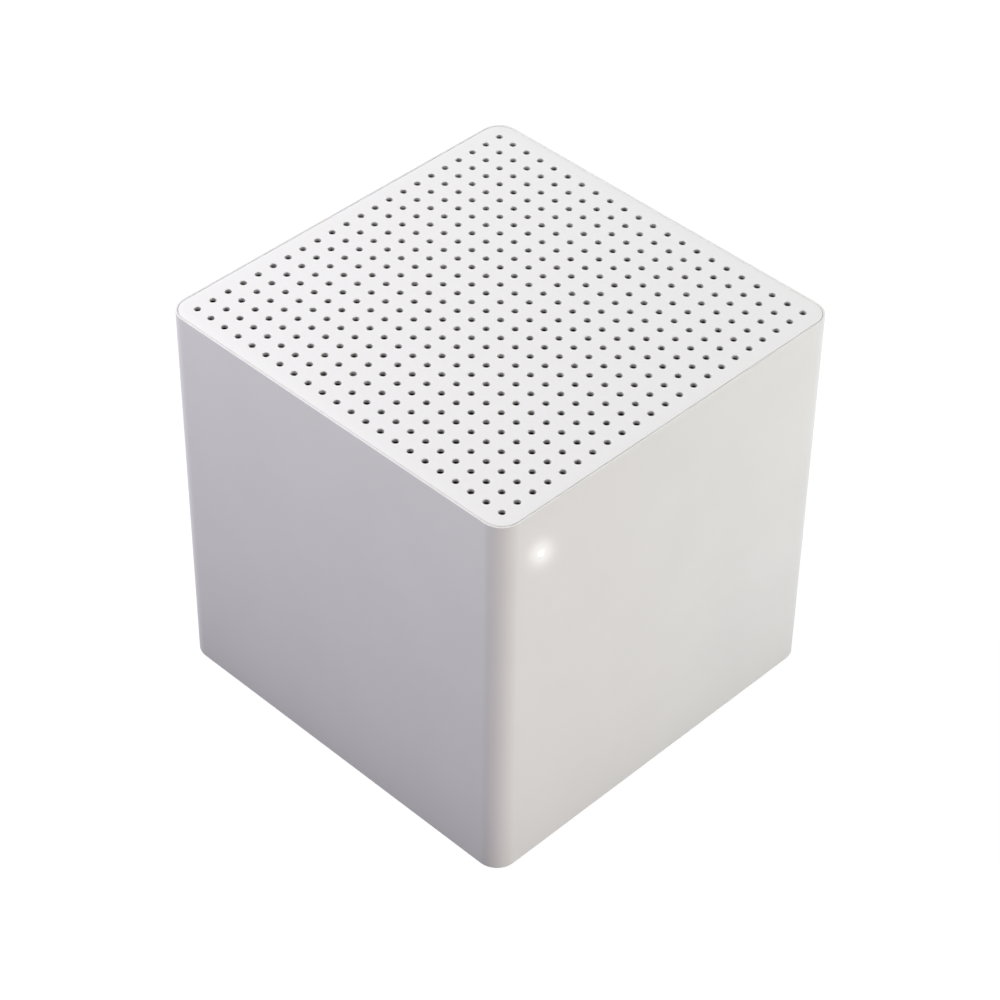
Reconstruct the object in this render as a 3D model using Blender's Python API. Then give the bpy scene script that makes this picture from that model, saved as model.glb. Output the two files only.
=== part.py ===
"""A cube-shaped smart speaker, 85 mm on a side, modelled as it comes apart on a bench.

The cube stands on four rubber feet at z = 0 with its centre line on the Z axis. The face with the status light looks
along -Y and the face with the socket and the buttons along +Y. Lengths are in metres.
"""

from math import cos, pi, radians, sin, sqrt

import bmesh
import bpy
from mathutils import Matrix, Vector

# ---- Driving dimensions -------------------------------------------------------------------------------------------

SIDE = 0.085  # overall width, depth and height, feet included
GAP = 0.0003  # what two neighbouring pieces keep between them
CORNER_RADIUS = 0.0043  # upright edges of the housing
WALL = 0.0022  # housing wall
FOOT_PROUD = 0.001  # how far the feet lift the housing off the table

LIP_WIDTH = 0.0004  # rim of the housing that shows round the grille
GRILLE_THICKNESS = 0.0007
CLOTH_THICKNESS = 0.0003
HOLES_PER_SIDE = 22
HOLE_PITCH = 0.00366
HOLE_DIAMETER = 0.0014

BASE_THICKNESS = 0.0025
BASE_RECESS = 0.0003  # the base sits this far up inside the housing
BAFFLE_BOTTOM = 0.069
BAFFLE_THICKNESS = 0.0025

DRIVER_FLANGE_HALF = 0.032
DRIVER_OPENING_RADIUS = 0.029
CONE_TRAVEL_STEPS = 24  # sides of the round pieces of the driver

LIGHT_X = -0.0329  # status light, on the front face
LIGHT_Z = 0.075

PORT_HEIGHT = 0.013  # socket and buttons, on the rear face
BUTTON_X = 0.015
BUTTON_RADIUS = 0.0032

# ---- Places worked out from them ----------------------------------------------------------------------------------

HALF = SIDE / 2
INNER_HALF = HALF - WALL
HOUSING_BOTTOM = FOOT_PROUD
PLATE_HALF = HALF - LIP_WIDTH - GAP  # the grille and the cloth lie inside the lip
GRILLE_BOTTOM = SIDE - GRILLE_THICKNESS
CLOTH_BOTTOM = GRILLE_BOTTOM - GAP - CLOTH_THICKNESS
LEDGE_TOP = CLOTH_BOTTOM - GAP
BASE_BOTTOM = HOUSING_BOTTOM + BASE_RECESS
BASE_TOP = BASE_BOTTOM + BASE_THICKNESS
BAFFLE_TOP = BAFFLE_BOTTOM + BAFFLE_THICKNESS
INSERT_HALF = INNER_HALF - GAP  # base and baffle fit inside the housing
INSERT_RADIUS = CORNER_RADIUS - WALL - GAP

POST_PLACE = 0.0366  # corner posts, on both X and Y
POST_RADIUS = 0.0042
POST_BOTTOM = BASE_TOP + GAP
POST_TOP = BAFFLE_BOTTOM - GAP

SCREW_SHANK_RADIUS = 0.00125
SCREW_HOLE_RADIUS = SCREW_SHANK_RADIUS + GAP
SCREW_HEAD_RADIUS = 0.0026
SCREW_HEAD_HEIGHT = 0.0009
SCREW_HEAD_ROOM = 0.0029

FOOT_PLACE = 0.0262
FOOT_RADIUS = 0.005
FOOT_HEIGHT = 0.0019

GASKET_BOTTOM = BAFFLE_TOP + GAP
GASKET_THICKNESS = 0.0008
FLANGE_BOTTOM = GASKET_BOTTOM + GASKET_THICKNESS + GAP
FLANGE_THICKNESS = 0.0012
FLANGE_TOP = FLANGE_BOTTOM + FLANGE_THICKNESS
DRIVER_SCREW_PLACE = 0.027
BASKET_MOUTH_RADIUS = 0.0268
BASKET_FLOOR = 0.057
BASKET_FLOOR_RADIUS = 0.0234
SHEET_METAL = 0.0012

POLE_RADIUS = 0.0076
COIL_INNER_RADIUS = 0.008
COIL_OUTER_RADIUS = 0.0087
TOP_PLATE_HOLE_RADIUS = 0.0091
TOP_PLATE_TOP = BASKET_FLOOR - GAP
TOP_PLATE_THICKNESS = 0.0035
MAGNET_TOP = TOP_PLATE_TOP - TOP_PLATE_THICKNESS - GAP
MAGNET_THICKNESS = 0.0098
YOKE_TOP = MAGNET_TOP - MAGNET_THICKNESS - GAP
YOKE_THICKNESS = 0.0032
CONE_NECK = 0.0628
CONE_RIM = FLANGE_TOP - 0.0001
SURROUND_BOTTOM = CONE_RIM + GAP + 0.0001

BOARD_FRONT = 0.0333  # the main board stands upright near the rear wall
BOARD_THICKNESS = 0.0016
BOARD_BACK = BOARD_FRONT + BOARD_THICKNESS
BOARD_HALF_WIDTH = 0.030
BOARD_BOTTOM = 0.006
BOARD_TOP = 0.038
BOSS_X = 0.026
BOSS_HEIGHTS = (0.0095, 0.0345)
BOARD_PARTS_BACK = BOARD_FRONT - GAP  # what is soldered to its inner side ends here
PORT_PARTS_FRONT = BOARD_BACK + GAP  # what is soldered to its rear side starts here

FRONT_BOARD_BOTTOM = LIGHT_Z + 0.0016
FRONT_BOARD_THICKNESS = 0.001
FRONT_BOARD_TOP = FRONT_BOARD_BOTTOM + FRONT_BOARD_THICKNESS
MICROPHONE_X = 0.016
MICROPHONE_Y = -0.0362

CELL_RADIUS = 0.0092
CELL_LENGTH = 0.065
CELL_Y = 0.0096
TRAY_BOTTOM = BASE_TOP + GAP
TRAY_FLOOR = 0.0015
TRAY_TOP = 0.0105
CELL_Z = TRAY_BOTTOM + TRAY_FLOOR + GAP + CELL_RADIUS

# ---- Materials ----------------------------------------------------------------------------------------------------

FINISHES = {
    "white_plastic": ((0.80, 0.79, 0.78), 0.45, 0.0),
    "white_grille": ((0.86, 0.85, 0.85), 0.50, 0.0),
    "black_cloth": ((0.02, 0.02, 0.02), 0.95, 0.0),
    "black_plastic": ((0.03, 0.03, 0.03), 0.50, 0.0),
    "grey_rubber": ((0.12, 0.12, 0.12), 0.85, 0.0),
    "steel": ((0.60, 0.60, 0.60), 0.35, 1.0),
    "black_steel": ((0.05, 0.05, 0.05), 0.45, 0.6),
    "ferrite": ((0.07, 0.07, 0.08), 0.60, 0.0),
    "foam": ((0.06, 0.06, 0.06), 0.95, 0.0),
    "paper_cone": ((0.05, 0.05, 0.05), 0.90, 0.0),
    "copper_coil": ((0.70, 0.35, 0.18), 0.35, 1.0),
    "spider_cloth": ((0.65, 0.45, 0.15), 0.90, 0.0),
    "green_board": ((0.02, 0.20, 0.08), 0.40, 0.0),
    "aluminium": ((0.75, 0.75, 0.76), 0.35, 1.0),
    "cell_wrap": ((0.05, 0.22, 0.45), 0.35, 0.0),
    "clear_plastic": ((0.95, 0.95, 0.95), 0.10, 0.0),
    "cable_jacket": ((0.04, 0.04, 0.04), 0.50, 0.0),
}


def finish(name):
    """The named material, made on first use."""
    found = bpy.data.materials.get(name)
    if found:
        return found
    colour, roughness, metallic = FINISHES[name]
    made = bpy.data.materials.new(name)
    made.use_nodes = True
    shader = made.node_tree.nodes["Principled BSDF"]
    shader.inputs["Base Color"].default_value = (*colour, 1)
    shader.inputs["Roughness"].default_value = roughness
    shader.inputs["Metallic"].default_value = metallic
    return made


# ---- Outlines -----------------------------------------------------------------------------------------------------


def circle(x, y, radius, sides):
    """Points of a round hole or edge, starting at +X."""
    return [(x + radius * cos(2 * pi * i / sides), y + radius * sin(2 * pi * i / sides)) for i in range(sides)]


def square(x, y, half):
    return [(x - half, y - half), (x + half, y - half), (x + half, y + half), (x - half, y + half)]


def rounded(half_x, half_y, radius, steps=6):
    """A rectangle round the origin with quarter-round corners of this many steps."""
    points = []
    for quarter, (sx, sy) in enumerate([(1, 1), (-1, 1), (-1, -1), (1, -1)]):
        for i in range(steps + 1):
            angle = pi / 2 * (quarter + i / steps)
            points.append((sx * (half_x - radius) + radius * cos(angle), sy * (half_y - radius) + radius * sin(angle)))
    return points


def four(place):
    """The same place in each corner of the plan, in front-left, front-right, rear-left, rear-right order."""
    return [(sx * place, sy * place) for sy in (-1, 1) for sx in (-1, 1)]


CORNERS = ("front_left", "front_right", "rear_left", "rear_right")

# ---- Meshes -------------------------------------------------------------------------------------------------------


def add_prism(bm, outline, low, high, holes=()):
    """Adds a flat outline with holes, raised from z = low to z = high."""
    edges = []
    for loop in (outline, *holes):
        corners = [bm.verts.new((x, y, low)) for x, y in loop]
        edges += [bm.edges.new((corners[i - 1], corners[i])) for i in range(len(corners))]
    filled = bmesh.ops.triangle_fill(bm, use_beauty=False, use_dissolve=False, edges=edges, normal=(0, 0, -1))
    faces = [f for f in filled["geom"] if isinstance(f, bmesh.types.BMFace)]
    raised = bmesh.ops.extrude_face_region(bm, geom=faces, use_keep_orig=True)
    corners = [v for v in raised["geom"] if isinstance(v, bmesh.types.BMVert)]
    bmesh.ops.translate(bm, verts=corners, vec=(0, 0, high - low))


def add_turned(bm, profile, sides):
    """Adds a closed profile of (radius, z) points, turned round the Z axis. A point on the axis stays one point."""
    rings = []
    for r, z in profile:
        angles = [2 * pi * i / sides for i in range(sides if r else 1)]
        rings.append([bm.verts.new((r * cos(a), r * sin(a), z)) for a in angles])
    for ring, following in zip(rings, rings[1:] + rings[:1]):
        for i in range(sides):
            here, there = i, (i + 1) % sides
            corners = [ring[here % len(ring)], following[here % len(following)]]
            corners += [following[there % len(following)], ring[there % len(ring)]]
            distinct = list(dict.fromkeys(corners))
            if len(distinct) > 2:
                bm.faces.new(distinct)


def add_box(bm, low, high):
    size = Vector(high) - Vector(low)
    centre = (Vector(high) + Vector(low)) / 2
    bmesh.ops.create_cube(bm, size=1, matrix=Matrix.Translation(centre) @ Matrix.Diagonal((*size, 1)))


def add_rod(bm, x, y, low, high, radius, sides=12):
    add_prism(bm, circle(x, y, radius, sides), low, high)


def piece(name, finish_name, *steps, at=(0, 0, 0), turn=None, parent=None):
    """An object whose mesh is built by the steps, each a function with its arguments after the mesh.

    The mesh is drawn about `at`, in the object's own axes, which `turn` (X, Y and Z angles) swings round.
    """
    bm = bmesh.new()
    for make, *arguments in steps:
        make(bm, *arguments)
    bmesh.ops.remove_doubles(bm, verts=bm.verts, dist=1e-7)
    bmesh.ops.recalc_face_normals(bm, faces=bm.faces)
    mesh = bpy.data.meshes.new(name)
    bm.to_mesh(mesh)
    bm.free()
    mesh.shade_smooth()
    mesh.set_sharp_from_angle(angle=radians(35))
    made = bpy.data.objects.new(name, mesh)
    made.location = at
    if turn:
        made.rotation_euler = turn
    if parent:
        made.parent = parent
    bpy.context.scene.collection.objects.link(made)
    if finish_name:
        mesh.materials.append(finish(finish_name))
    else:
        made.hide_render = True
        made.display_type = "WIRE"
    return made


def helper(name, *steps, at=(0, 0, 0), turn=None):
    """A shape that only cuts or joins."""
    return piece(name, None, *steps, at=at, turn=turn)


def combine(target, operation, other):
    modifier = target.modifiers.new(f"{operation.lower()} {other.name}", "BOOLEAN")
    modifier.operation = operation
    modifier.solver = "EXACT"
    modifier.object = other


def empty(name, at):
    made = bpy.data.objects.new(name, None)
    made.location = at
    bpy.context.scene.collection.objects.link(made)
    return made


FACING_REAR = (radians(-90), 0, 0)  # turns a piece's own Z to +Y
FACING_FRONT = (radians(90), 0, 0)  # turns it to -Y


def screw(name, at, turn, length, shank=SCREW_SHANK_RADIUS, head=SCREW_HEAD_RADIUS, height=SCREW_HEAD_HEIGHT):
    """A pan-head screw with a square driving recess. Its own Z runs out of the head, from under the head at z = 0."""
    slot = height * 0.6
    profile = [(0, -length), (shank * 0.5, -length), (shank, -length + shank), (shank, 0), (head, 0)]
    profile += [(head, height * 0.6), (head * 0.8, height), (0, height)]
    made = piece(name, "steel", (add_turned, profile, 12), at=at, turn=turn)
    recess = helper(f"{name}_recess", (add_box, (-head * 0.3, -head * 0.3, height - slot), (head * 0.3, head * 0.3, 2 * height)), at=at, turn=turn)
    combine(made, "DIFFERENCE", recess)
    return made


# ---- Casing -------------------------------------------------------------------------------------------------------


def housing_shell():
    """A square tube with a lip at the top, a post in each corner and four bosses on the rear wall."""
    outline = rounded(HALF, HALF, CORNER_RADIUS, 8)
    inside = rounded(INNER_HALF, INNER_HALF, CORNER_RADIUS - WALL, 5)
    made = piece("housing_shell", "white_plastic", (add_prism, outline, HOUSING_BOTTOM, SIDE, [inside]))

    seat_half = PLATE_HALF + GAP
    seat = helper("grille_seat", (add_prism, rounded(seat_half, seat_half, CORNER_RADIUS - LIP_WIDTH, 8), LEDGE_TOP, SIDE + GAP))
    combine(made, "DIFFERENCE", seat)

    posts = [(add_rod, x, y, POST_BOTTOM, POST_TOP, POST_RADIUS) for x, y in four(POST_PLACE)]
    combine(made, "UNION", helper("corner_posts", *posts))
    boss_length = INNER_HALF + GAP - PORT_PARTS_FRONT
    bosses = [(add_rod, sx * BOSS_X, -z, 0, boss_length, 0.0024) for sx in (-1, 1) for z in BOSS_HEIGHTS]
    combine(made, "UNION", helper("board_bosses", *bosses, at=(0, PORT_PARTS_FRONT, 0), turn=FACING_REAR))

    depth = 0.010
    pilots = [(add_rod, x, y, POST_BOTTOM - GAP, POST_BOTTOM + depth, SCREW_HOLE_RADIUS) for x, y in four(POST_PLACE)]
    pilots += [(add_rod, x, y, POST_TOP - depth, POST_TOP + GAP, SCREW_HOLE_RADIUS) for x, y in four(POST_PLACE)]
    combine(made, "DIFFERENCE", helper("post_pilots", *pilots))
    board_pilots = [(add_rod, sx * BOSS_X, -BOSS_HEIGHTS[1], -GAP, 0.0055, 0.0012) for sx in (-1, 1)]
    combine(made, "DIFFERENCE", helper("boss_pilots", *board_pilots, at=(0, PORT_PARTS_FRONT, 0), turn=FACING_REAR))

    slot = rounded(0.0050, 0.00216, 0.0021, 4)
    through = WALL + 0.002
    rear = (0, INNER_HALF - 0.001, PORT_HEIGHT)
    combine(made, "DIFFERENCE", helper("socket_slot", (add_prism, slot, 0, through), at=rear, turn=FACING_REAR))
    button_holes = [(add_rod, sx * BUTTON_X, 0, 0, through, BUTTON_RADIUS + GAP, 20) for sx in (-1, 1)]
    combine(made, "DIFFERENCE", helper("button_holes", *button_holes, at=rear, turn=FACING_REAR))
    pinhole = helper("light_pinhole", (add_rod, 0, 0, 0, through, 0.0011), at=(LIGHT_X, -INNER_HALF + 0.001, LIGHT_Z), turn=FACING_FRONT)
    combine(made, "DIFFERENCE", pinhole)


def grille_plate():
    """The perforated top. Each hole is a square here, of the same area as the round one that it stands for."""
    half = HOLE_DIAMETER * sqrt(pi) / 4
    first = -HOLE_PITCH * (HOLES_PER_SIDE - 1) / 2
    rows = [first + HOLE_PITCH * i for i in range(HOLES_PER_SIDE)]
    holes = [square(x, y, half) for x in rows for y in rows]
    outline = rounded(PLATE_HALF, PLATE_HALF, CORNER_RADIUS - LIP_WIDTH - GAP)
    piece("grille_plate", "white_grille", (add_prism, outline, GRILLE_BOTTOM, SIDE, holes))


def grille_cloth():
    outline = rounded(PLATE_HALF, PLATE_HALF, CORNER_RADIUS - LIP_WIDTH - GAP, 4)
    piece("grille_cloth", "black_cloth", (add_prism, outline, CLOTH_BOTTOM, CLOTH_BOTTOM + CLOTH_THICKNESS))


def base_plate():
    """The bottom cover, with counterbored screw holes and shallow recesses for the feet."""
    outline = rounded(INSERT_HALF, INSERT_HALF, INSERT_RADIUS, 4)
    holes = [circle(x, y, SCREW_HOLE_RADIUS, 12) for x, y in four(POST_PLACE)]
    made = piece("base_plate", "white_plastic", (add_prism, outline, BASE_BOTTOM, BASE_TOP, holes))
    below = BASE_BOTTOM - GAP
    counterbore = BASE_BOTTOM + SCREW_HEAD_HEIGHT + GAP
    cuts = [(add_rod, x, y, below, counterbore, SCREW_HEAD_ROOM, 16) for x, y in four(POST_PLACE)]
    cuts += [(add_rod, x, y, below, FOOT_HEIGHT + GAP, FOOT_RADIUS + GAP, 20) for x, y in four(FOOT_PLACE)]
    combine(made, "DIFFERENCE", helper("base_recesses", *cuts))


def feet_and_base_screws():
    for corner, (x, y) in zip(CORNERS, four(FOOT_PLACE)):
        edge = 0.0004
        profile = [(0, 0), (FOOT_RADIUS - edge, 0), (FOOT_RADIUS, edge), (FOOT_RADIUS, FOOT_HEIGHT), (0, FOOT_HEIGHT)]
        piece(f"foot_{corner}", "grey_rubber", (add_turned, profile, 20), at=(x, y, 0))
    for corner, (x, y) in zip(CORNERS, four(POST_PLACE)):
        screw(f"base_screw_{corner}", (x, y, BASE_BOTTOM + SCREW_HEAD_HEIGHT), (pi, 0, 0), 0.0085)


def light_pipe():
    """A clear pin that carries the status light through the front wall, flush with its face."""
    length = HALF - 0.0379
    collar = HALF - INNER_HALF + GAP
    profile = [(0, 0), (0.0008, 0), (0.0008, length - collar - 0.0008), (0.0013, length - collar - 0.0008)]
    profile += [(0.0013, length - collar), (0.0008, length - collar), (0.0008, length), (0, length)]
    piece("light_pipe", "clear_plastic", (add_turned, profile, 12), at=(LIGHT_X, -0.0379, LIGHT_Z), turn=FACING_FRONT)


# ---- Speaker driver -----------------------------------------------------------------------------------------------


def baffle_plate():
    """The shelf that carries the driver, screwed to the housing's corner posts."""
    outline = rounded(INSERT_HALF, INSERT_HALF, INSERT_RADIUS, 4)
    holes = [circle(0, 0, DRIVER_OPENING_RADIUS, 32), circle(0.028, -0.0366, 0.0018, 10)]
    holes += [circle(x, y, SCREW_HOLE_RADIUS, 10) for x, y in (*four(POST_PLACE), *four(DRIVER_SCREW_PLACE))]
    made = piece("baffle_plate", "black_plastic", (add_prism, outline, BAFFLE_BOTTOM, BAFFLE_TOP, holes))
    posts = [(add_rod, sx * 0.0225, MICROPHONE_Y, BAFFLE_TOP - GAP, FRONT_BOARD_BOTTOM - GAP, 0.002, 10) for sx in (-1, 1)]
    combine(made, "UNION", helper("front_board_posts", *posts))
    for corner, (x, y) in zip(CORNERS, four(POST_PLACE)):
        screw(f"baffle_screw_{corner}", (x, y, BAFFLE_TOP + GAP), None, 0.0115, height=0.0016)


def driver_frame():
    """The pressed basket with its square flange, and the foam gasket and screws that mount it."""
    outline = rounded(DRIVER_FLANGE_HALF, DRIVER_FLANGE_HALF, 0.006, 4)
    screw_holes = [circle(x, y, SCREW_HOLE_RADIUS, 10) for x, y in four(DRIVER_SCREW_PLACE)]
    mouth = circle(0, 0, BASKET_MOUTH_RADIUS, CONE_TRAVEL_STEPS)
    basket = piece("driver_basket", "black_steel", (add_prism, outline, FLANGE_BOTTOM, FLANGE_TOP, [mouth, *screw_holes]))
    top = FLANGE_BOTTOM + SHEET_METAL / 2
    inner = BASKET_FLOOR_RADIUS - 0.0008
    hole = COIL_OUTER_RADIUS + 0.0009
    bowl = [(BASKET_MOUTH_RADIUS + 0.0014, top), (BASKET_FLOOR_RADIUS, BASKET_FLOOR), (hole, BASKET_FLOOR)]
    bowl += [(hole, BASKET_FLOOR + SHEET_METAL), (inner, BASKET_FLOOR + SHEET_METAL), (BASKET_MOUTH_RADIUS + 0.0003, top)]
    combine(basket, "UNION", helper("basket_bowl", (add_turned, bowl, CONE_TRAVEL_STEPS)))
    half = 0.0095
    low, high = BASKET_FLOOR + 0.0048, FLANGE_BOTTOM - 0.0022
    windows = helper("basket_windows", (add_box, (0.02, -half, low), (0.04, half, high)), (add_box, (-0.04, -half, low), (-0.02, half, high)))
    combine(basket, "DIFFERENCE", windows)
    front_window = helper("basket_front_window", (add_box, (-half, -0.04, low), (half, -0.02, high)))
    combine(basket, "DIFFERENCE", front_window)

    opening = circle(0, 0, DRIVER_OPENING_RADIUS + 0.0004, 32)
    steps = (add_prism, outline, GASKET_BOTTOM, GASKET_BOTTOM + GASKET_THICKNESS, [opening, *screw_holes])
    piece("driver_gasket", "foam", steps)
    for corner, (x, y) in zip(CORNERS, four(DRIVER_SCREW_PLACE)):
        screw(f"driver_screw_{corner}", (x, y, FLANGE_TOP + GAP), None, 0.008, height=0.0016)

    terminal_top = (add_prism, rounded(0.006, 0.0032, 0.0006, 2), 0, 0.0012)
    lugs = [(add_box, (sx * 0.0035 - 0.0011, 0.003, 0.0003), (sx * 0.0035 + 0.0011, 0.0055, 0.0009)) for sx in (-1, 1)]
    place, slope = (0, 0.0253, 0.0624), (radians(-106.2), 0, 0)
    terminal = piece("driver_terminal", "green_board", terminal_top, at=place, turn=slope)
    combine(terminal, "UNION", helper("terminal_lugs", *lugs, at=place, turn=slope))


def driver_motor():
    """Top plate, ring magnet and T-shaped yoke, which hold the field that the coil moves in."""
    sides = CONE_TRAVEL_STEPS
    low = TOP_PLATE_TOP - TOP_PLATE_THICKNESS
    profile = [(TOP_PLATE_HOLE_RADIUS, low), (0.022, low), (0.022, TOP_PLATE_TOP), (TOP_PLATE_HOLE_RADIUS, TOP_PLATE_TOP)]
    piece("driver_top_plate", "steel", (add_turned, profile, sides))
    low, edge = MAGNET_TOP - MAGNET_THICKNESS, 0.0006
    profile = [(0.012, low), (0.024 - edge, low), (0.024, low + edge), (0.024, MAGNET_TOP - edge)]
    profile += [(0.024 - edge, MAGNET_TOP), (0.012, MAGNET_TOP)]
    piece("driver_magnet", "ferrite", (add_turned, profile, sides))
    low = YOKE_TOP - YOKE_THICKNESS
    profile = [(0, low), (0.0205, low), (0.022, low + 0.0012), (0.022, YOKE_TOP), (POLE_RADIUS, YOKE_TOP)]
    profile += [(POLE_RADIUS, TOP_PLATE_TOP), (0, TOP_PLATE_TOP)]
    piece("driver_yoke", "steel", (add_turned, profile, sides))


def driver_moving_parts():
    """Cone, dust cap and coil slide on the Z axis. Surround and spider flex to let them."""
    axis = empty("cone_axis", (0, 0, CONE_NECK))
    sides = CONE_TRAVEL_STEPS

    def local(profile):
        return [(r, z - CONE_NECK) for r, z in profile]

    neck, rim, wall = COIL_INNER_RADIUS + 0.0002, 0.0222, 0.0006
    flare = [i / 4 for i in range(5)]
    under = [(neck + wall + (rim - neck - wall) * t, CONE_NECK + (CONE_RIM - CONE_NECK) * t**1.25) for t in flare]
    over = [(neck + (rim - neck - wall) * t, CONE_NECK + wall * (1 - t) + (CONE_RIM - CONE_NECK) * t**1.25) for t in flare]
    piece("driver_cone", "paper_cone", (add_turned, local(under + over[::-1]), sides), parent=axis)

    coil = [(COIL_INNER_RADIUS, 0.0495), (COIL_OUTER_RADIUS, 0.0495), (COIL_OUTER_RADIUS, 0.0585)]
    coil += [(COIL_INNER_RADIUS + 0.0003, 0.0585), (COIL_INNER_RADIUS + 0.0003, 0.0625), (COIL_INNER_RADIUS, 0.0625)]
    piece("driver_voice_coil", "copper_coil", (add_turned, local(coil), sides), parent=axis)

    cap_radius, cap_rise, cap_low = 0.0100, 0.0036, 0.0652
    bow = [i / 4 for i in range(5)]
    top = [(cap_radius * cos(t * pi / 2), cap_low + cap_rise * sin(t * pi / 2)) for t in bow]
    bottom = [((cap_radius - 0.0006) * cos(t * pi / 2), cap_low + (cap_rise - 0.0006) * sin(t * pi / 2)) for t in bow]
    piece("driver_dust_cap", "paper_cone", (add_turned, local(top[:-1] + [(0, cap_low + cap_rise)] + [(0, cap_low + cap_rise - 0.0006)] + bottom[-2::-1]), sides), parent=axis)

    low, thick, middle = SURROUND_BOTTOM, 0.0006, 0.0245
    roll_out, roll_in = 0.0025, 0.0019
    arc = [pi * i / 6 for i in range(7)]
    inside = [(middle - roll_in * cos(a), low + roll_in * sin(a)) for a in arc]
    outside = [(middle + roll_out * cos(a), low + roll_out * sin(a)) for a in arc[1:-1]]
    profile = [(0.0208, low), *inside, (0.0290, low), (0.0290, low + thick), (middle + roll_out, low + thick)]
    profile += [*outside, (middle - roll_out, low + thick), (0.0208, low + thick)]
    piece("driver_surround", "foam", (add_turned, profile, sides))

    waves, points, level, height, thin = 3, 13, 0.0610, 0.0006, 0.0004
    inner, outer = 0.0090, 0.0228
    wave = []
    for i in range(points):
        t = i / (points - 1)
        wave.append((inner + (outer - inner) * t, level + height * sin(2 * pi * waves * t)))
    profile = wave + [(r, z + thin) for r, z in reversed(wave)]
    piece("driver_spider", "spider_cloth", (add_turned, profile, 20))


# ---- Electronics --------------------------------------------------------------------------------------------------


def main_board():
    """The upright board behind the rear wall, with what is soldered to it and the two screws that hold it."""
    middle = (BOARD_TOP + BOARD_BOTTOM) / 2
    outline = [(x, y - middle) for x, y in rounded(BOARD_HALF_WIDTH, (BOARD_TOP - BOARD_BOTTOM) / 2, 0.0015, 2)]
    holes = [circle(sx * BOSS_X, -BOSS_HEIGHTS[1], 0.0013, 10) for sx in (-1, 1)]
    piece("main_board", "green_board", (add_prism, outline, 0, BOARD_THICKNESS, holes), at=(0, BOARD_FRONT, 0), turn=FACING_REAR)
    for side, sx in (("left", -1), ("right", 1)):
        place = (sx * BOSS_X, BOARD_FRONT - GAP, BOSS_HEIGHTS[1])
        screw(f"board_screw_{side}", place, FACING_FRONT, 0.006, shank=0.0009, head=0.0019, height=0.0013)

    low = BOARD_PARTS_BACK
    piece("wifi_module", "aluminium", (add_box, (-0.022, low - 0.0026, 0.016), (-0.004, low, 0.029)))
    fins = [(add_box, (0.0065 + 0.0027 * i, low - 0.006, 0.018), (0.0080 + 0.0027 * i, low - 0.001, 0.031)) for i in range(5)]
    sink = piece("amplifier_heatsink", "aluminium", (add_box, (0.0060, low - 0.0014, 0.0175), (0.0194, low, 0.0315)))
    combine(sink, "UNION", helper("heatsink_fins", *fins))
    can = [(0, 0), (0.0038, 0), (0.004, 0.0006), (0.004, 0.0102), (0.0036, 0.0106), (0, 0.0106)]
    piece("reservoir_capacitor", "aluminium", (add_turned, can, 16), at=(0.0010, low, 0.0240), turn=FACING_FRONT)


def socket_and_buttons():
    """The charging socket, and two buttons that push on dome switches."""
    low, length = PORT_PARTS_FRONT, HALF - 0.0006 - PORT_PARTS_FRONT
    outline, mouth = rounded(0.00447, 0.00163, 0.0016, 4), rounded(0.00417, 0.00133, 0.0013, 4)
    shell = piece("usb_socket_shell", "steel", (add_prism, outline, 0, length), at=(0, low, PORT_HEIGHT), turn=FACING_REAR)
    cavity = (add_prism, mouth, 0.0008, length + GAP)
    combine(shell, "DIFFERENCE", helper("socket_mouth", cavity, at=(0, low, PORT_HEIGHT), turn=FACING_REAR))
    tongue = [(add_box, (-0.0033, low + 0.0011, PORT_HEIGHT - 0.00035), (0.0033, HALF - 0.0016, PORT_HEIGHT + 0.00035))]
    piece("usb_socket_tongue", "black_plastic", *tongue)

    flange, cap_end = 0.0040, INNER_HALF - GAP
    for name, x in (("power", BUTTON_X), ("pairing", -BUTTON_X)):
        body = (add_prism, rounded(0.003, 0.003, 0.0004, 1), 0, 0.0024)
        piece(f"{name}_switch", "black_steel", body, at=(x, low, PORT_HEIGHT), turn=FACING_REAR)
        base, stem = cap_end - 0.0008, low + 0.0024 + 0.0008
        profile = [(0, stem - base), (0.0015, stem - base), (0.0015, 0), (flange, 0), (flange, 0.0008)]
        face = HALF - GAP - base
        profile += [(BUTTON_RADIUS, 0.0008), (BUTTON_RADIUS, face), (BUTTON_RADIUS - 0.0004, face), (0, face - 0.0004)]
        piece(f"{name}_button", "white_plastic", (add_turned, profile, 20), at=(x, base, PORT_HEIGHT), turn=FACING_REAR)


def front_board():
    """The strip under the front edge of the grille, with two microphones and the status light."""
    low, high = FRONT_BOARD_BOTTOM, FRONT_BOARD_TOP
    outline = [(x, y + MICROPHONE_Y) for x, y in rounded(0.0365, 0.0033, 0.0008, 2)]
    piece("front_board", "green_board", (add_prism, outline, low, high))
    for side, sx in (("left", -1), ("right", 1)):
        x = sx * MICROPHONE_X
        start = high + GAP
        corner, far = (x - 0.0019, MICROPHONE_Y - 0.0015, start), (x + 0.0019, MICROPHONE_Y + 0.0015, start + 0.0011)
        piece(f"microphone_{side}", "steel", (add_box, corner, far))
        low_ring, high_ring = start + 0.0011 + GAP, CLOTH_BOTTOM - GAP
        ring = [(0.0010, low_ring), (0.0027, low_ring), (0.0022, high_ring), (0.0010, high_ring)]
        piece(f"microphone_boot_{side}", "grey_rubber", (add_turned, ring, 14), at=(x, MICROPHONE_Y, 0))
    piece("status_led", "clear_plastic", (add_box, (LIGHT_X - 0.001, -0.0376, LIGHT_Z - 0.0008), (LIGHT_X + 0.001, -0.0355, FRONT_BOARD_BOTTOM - GAP)))


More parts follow.
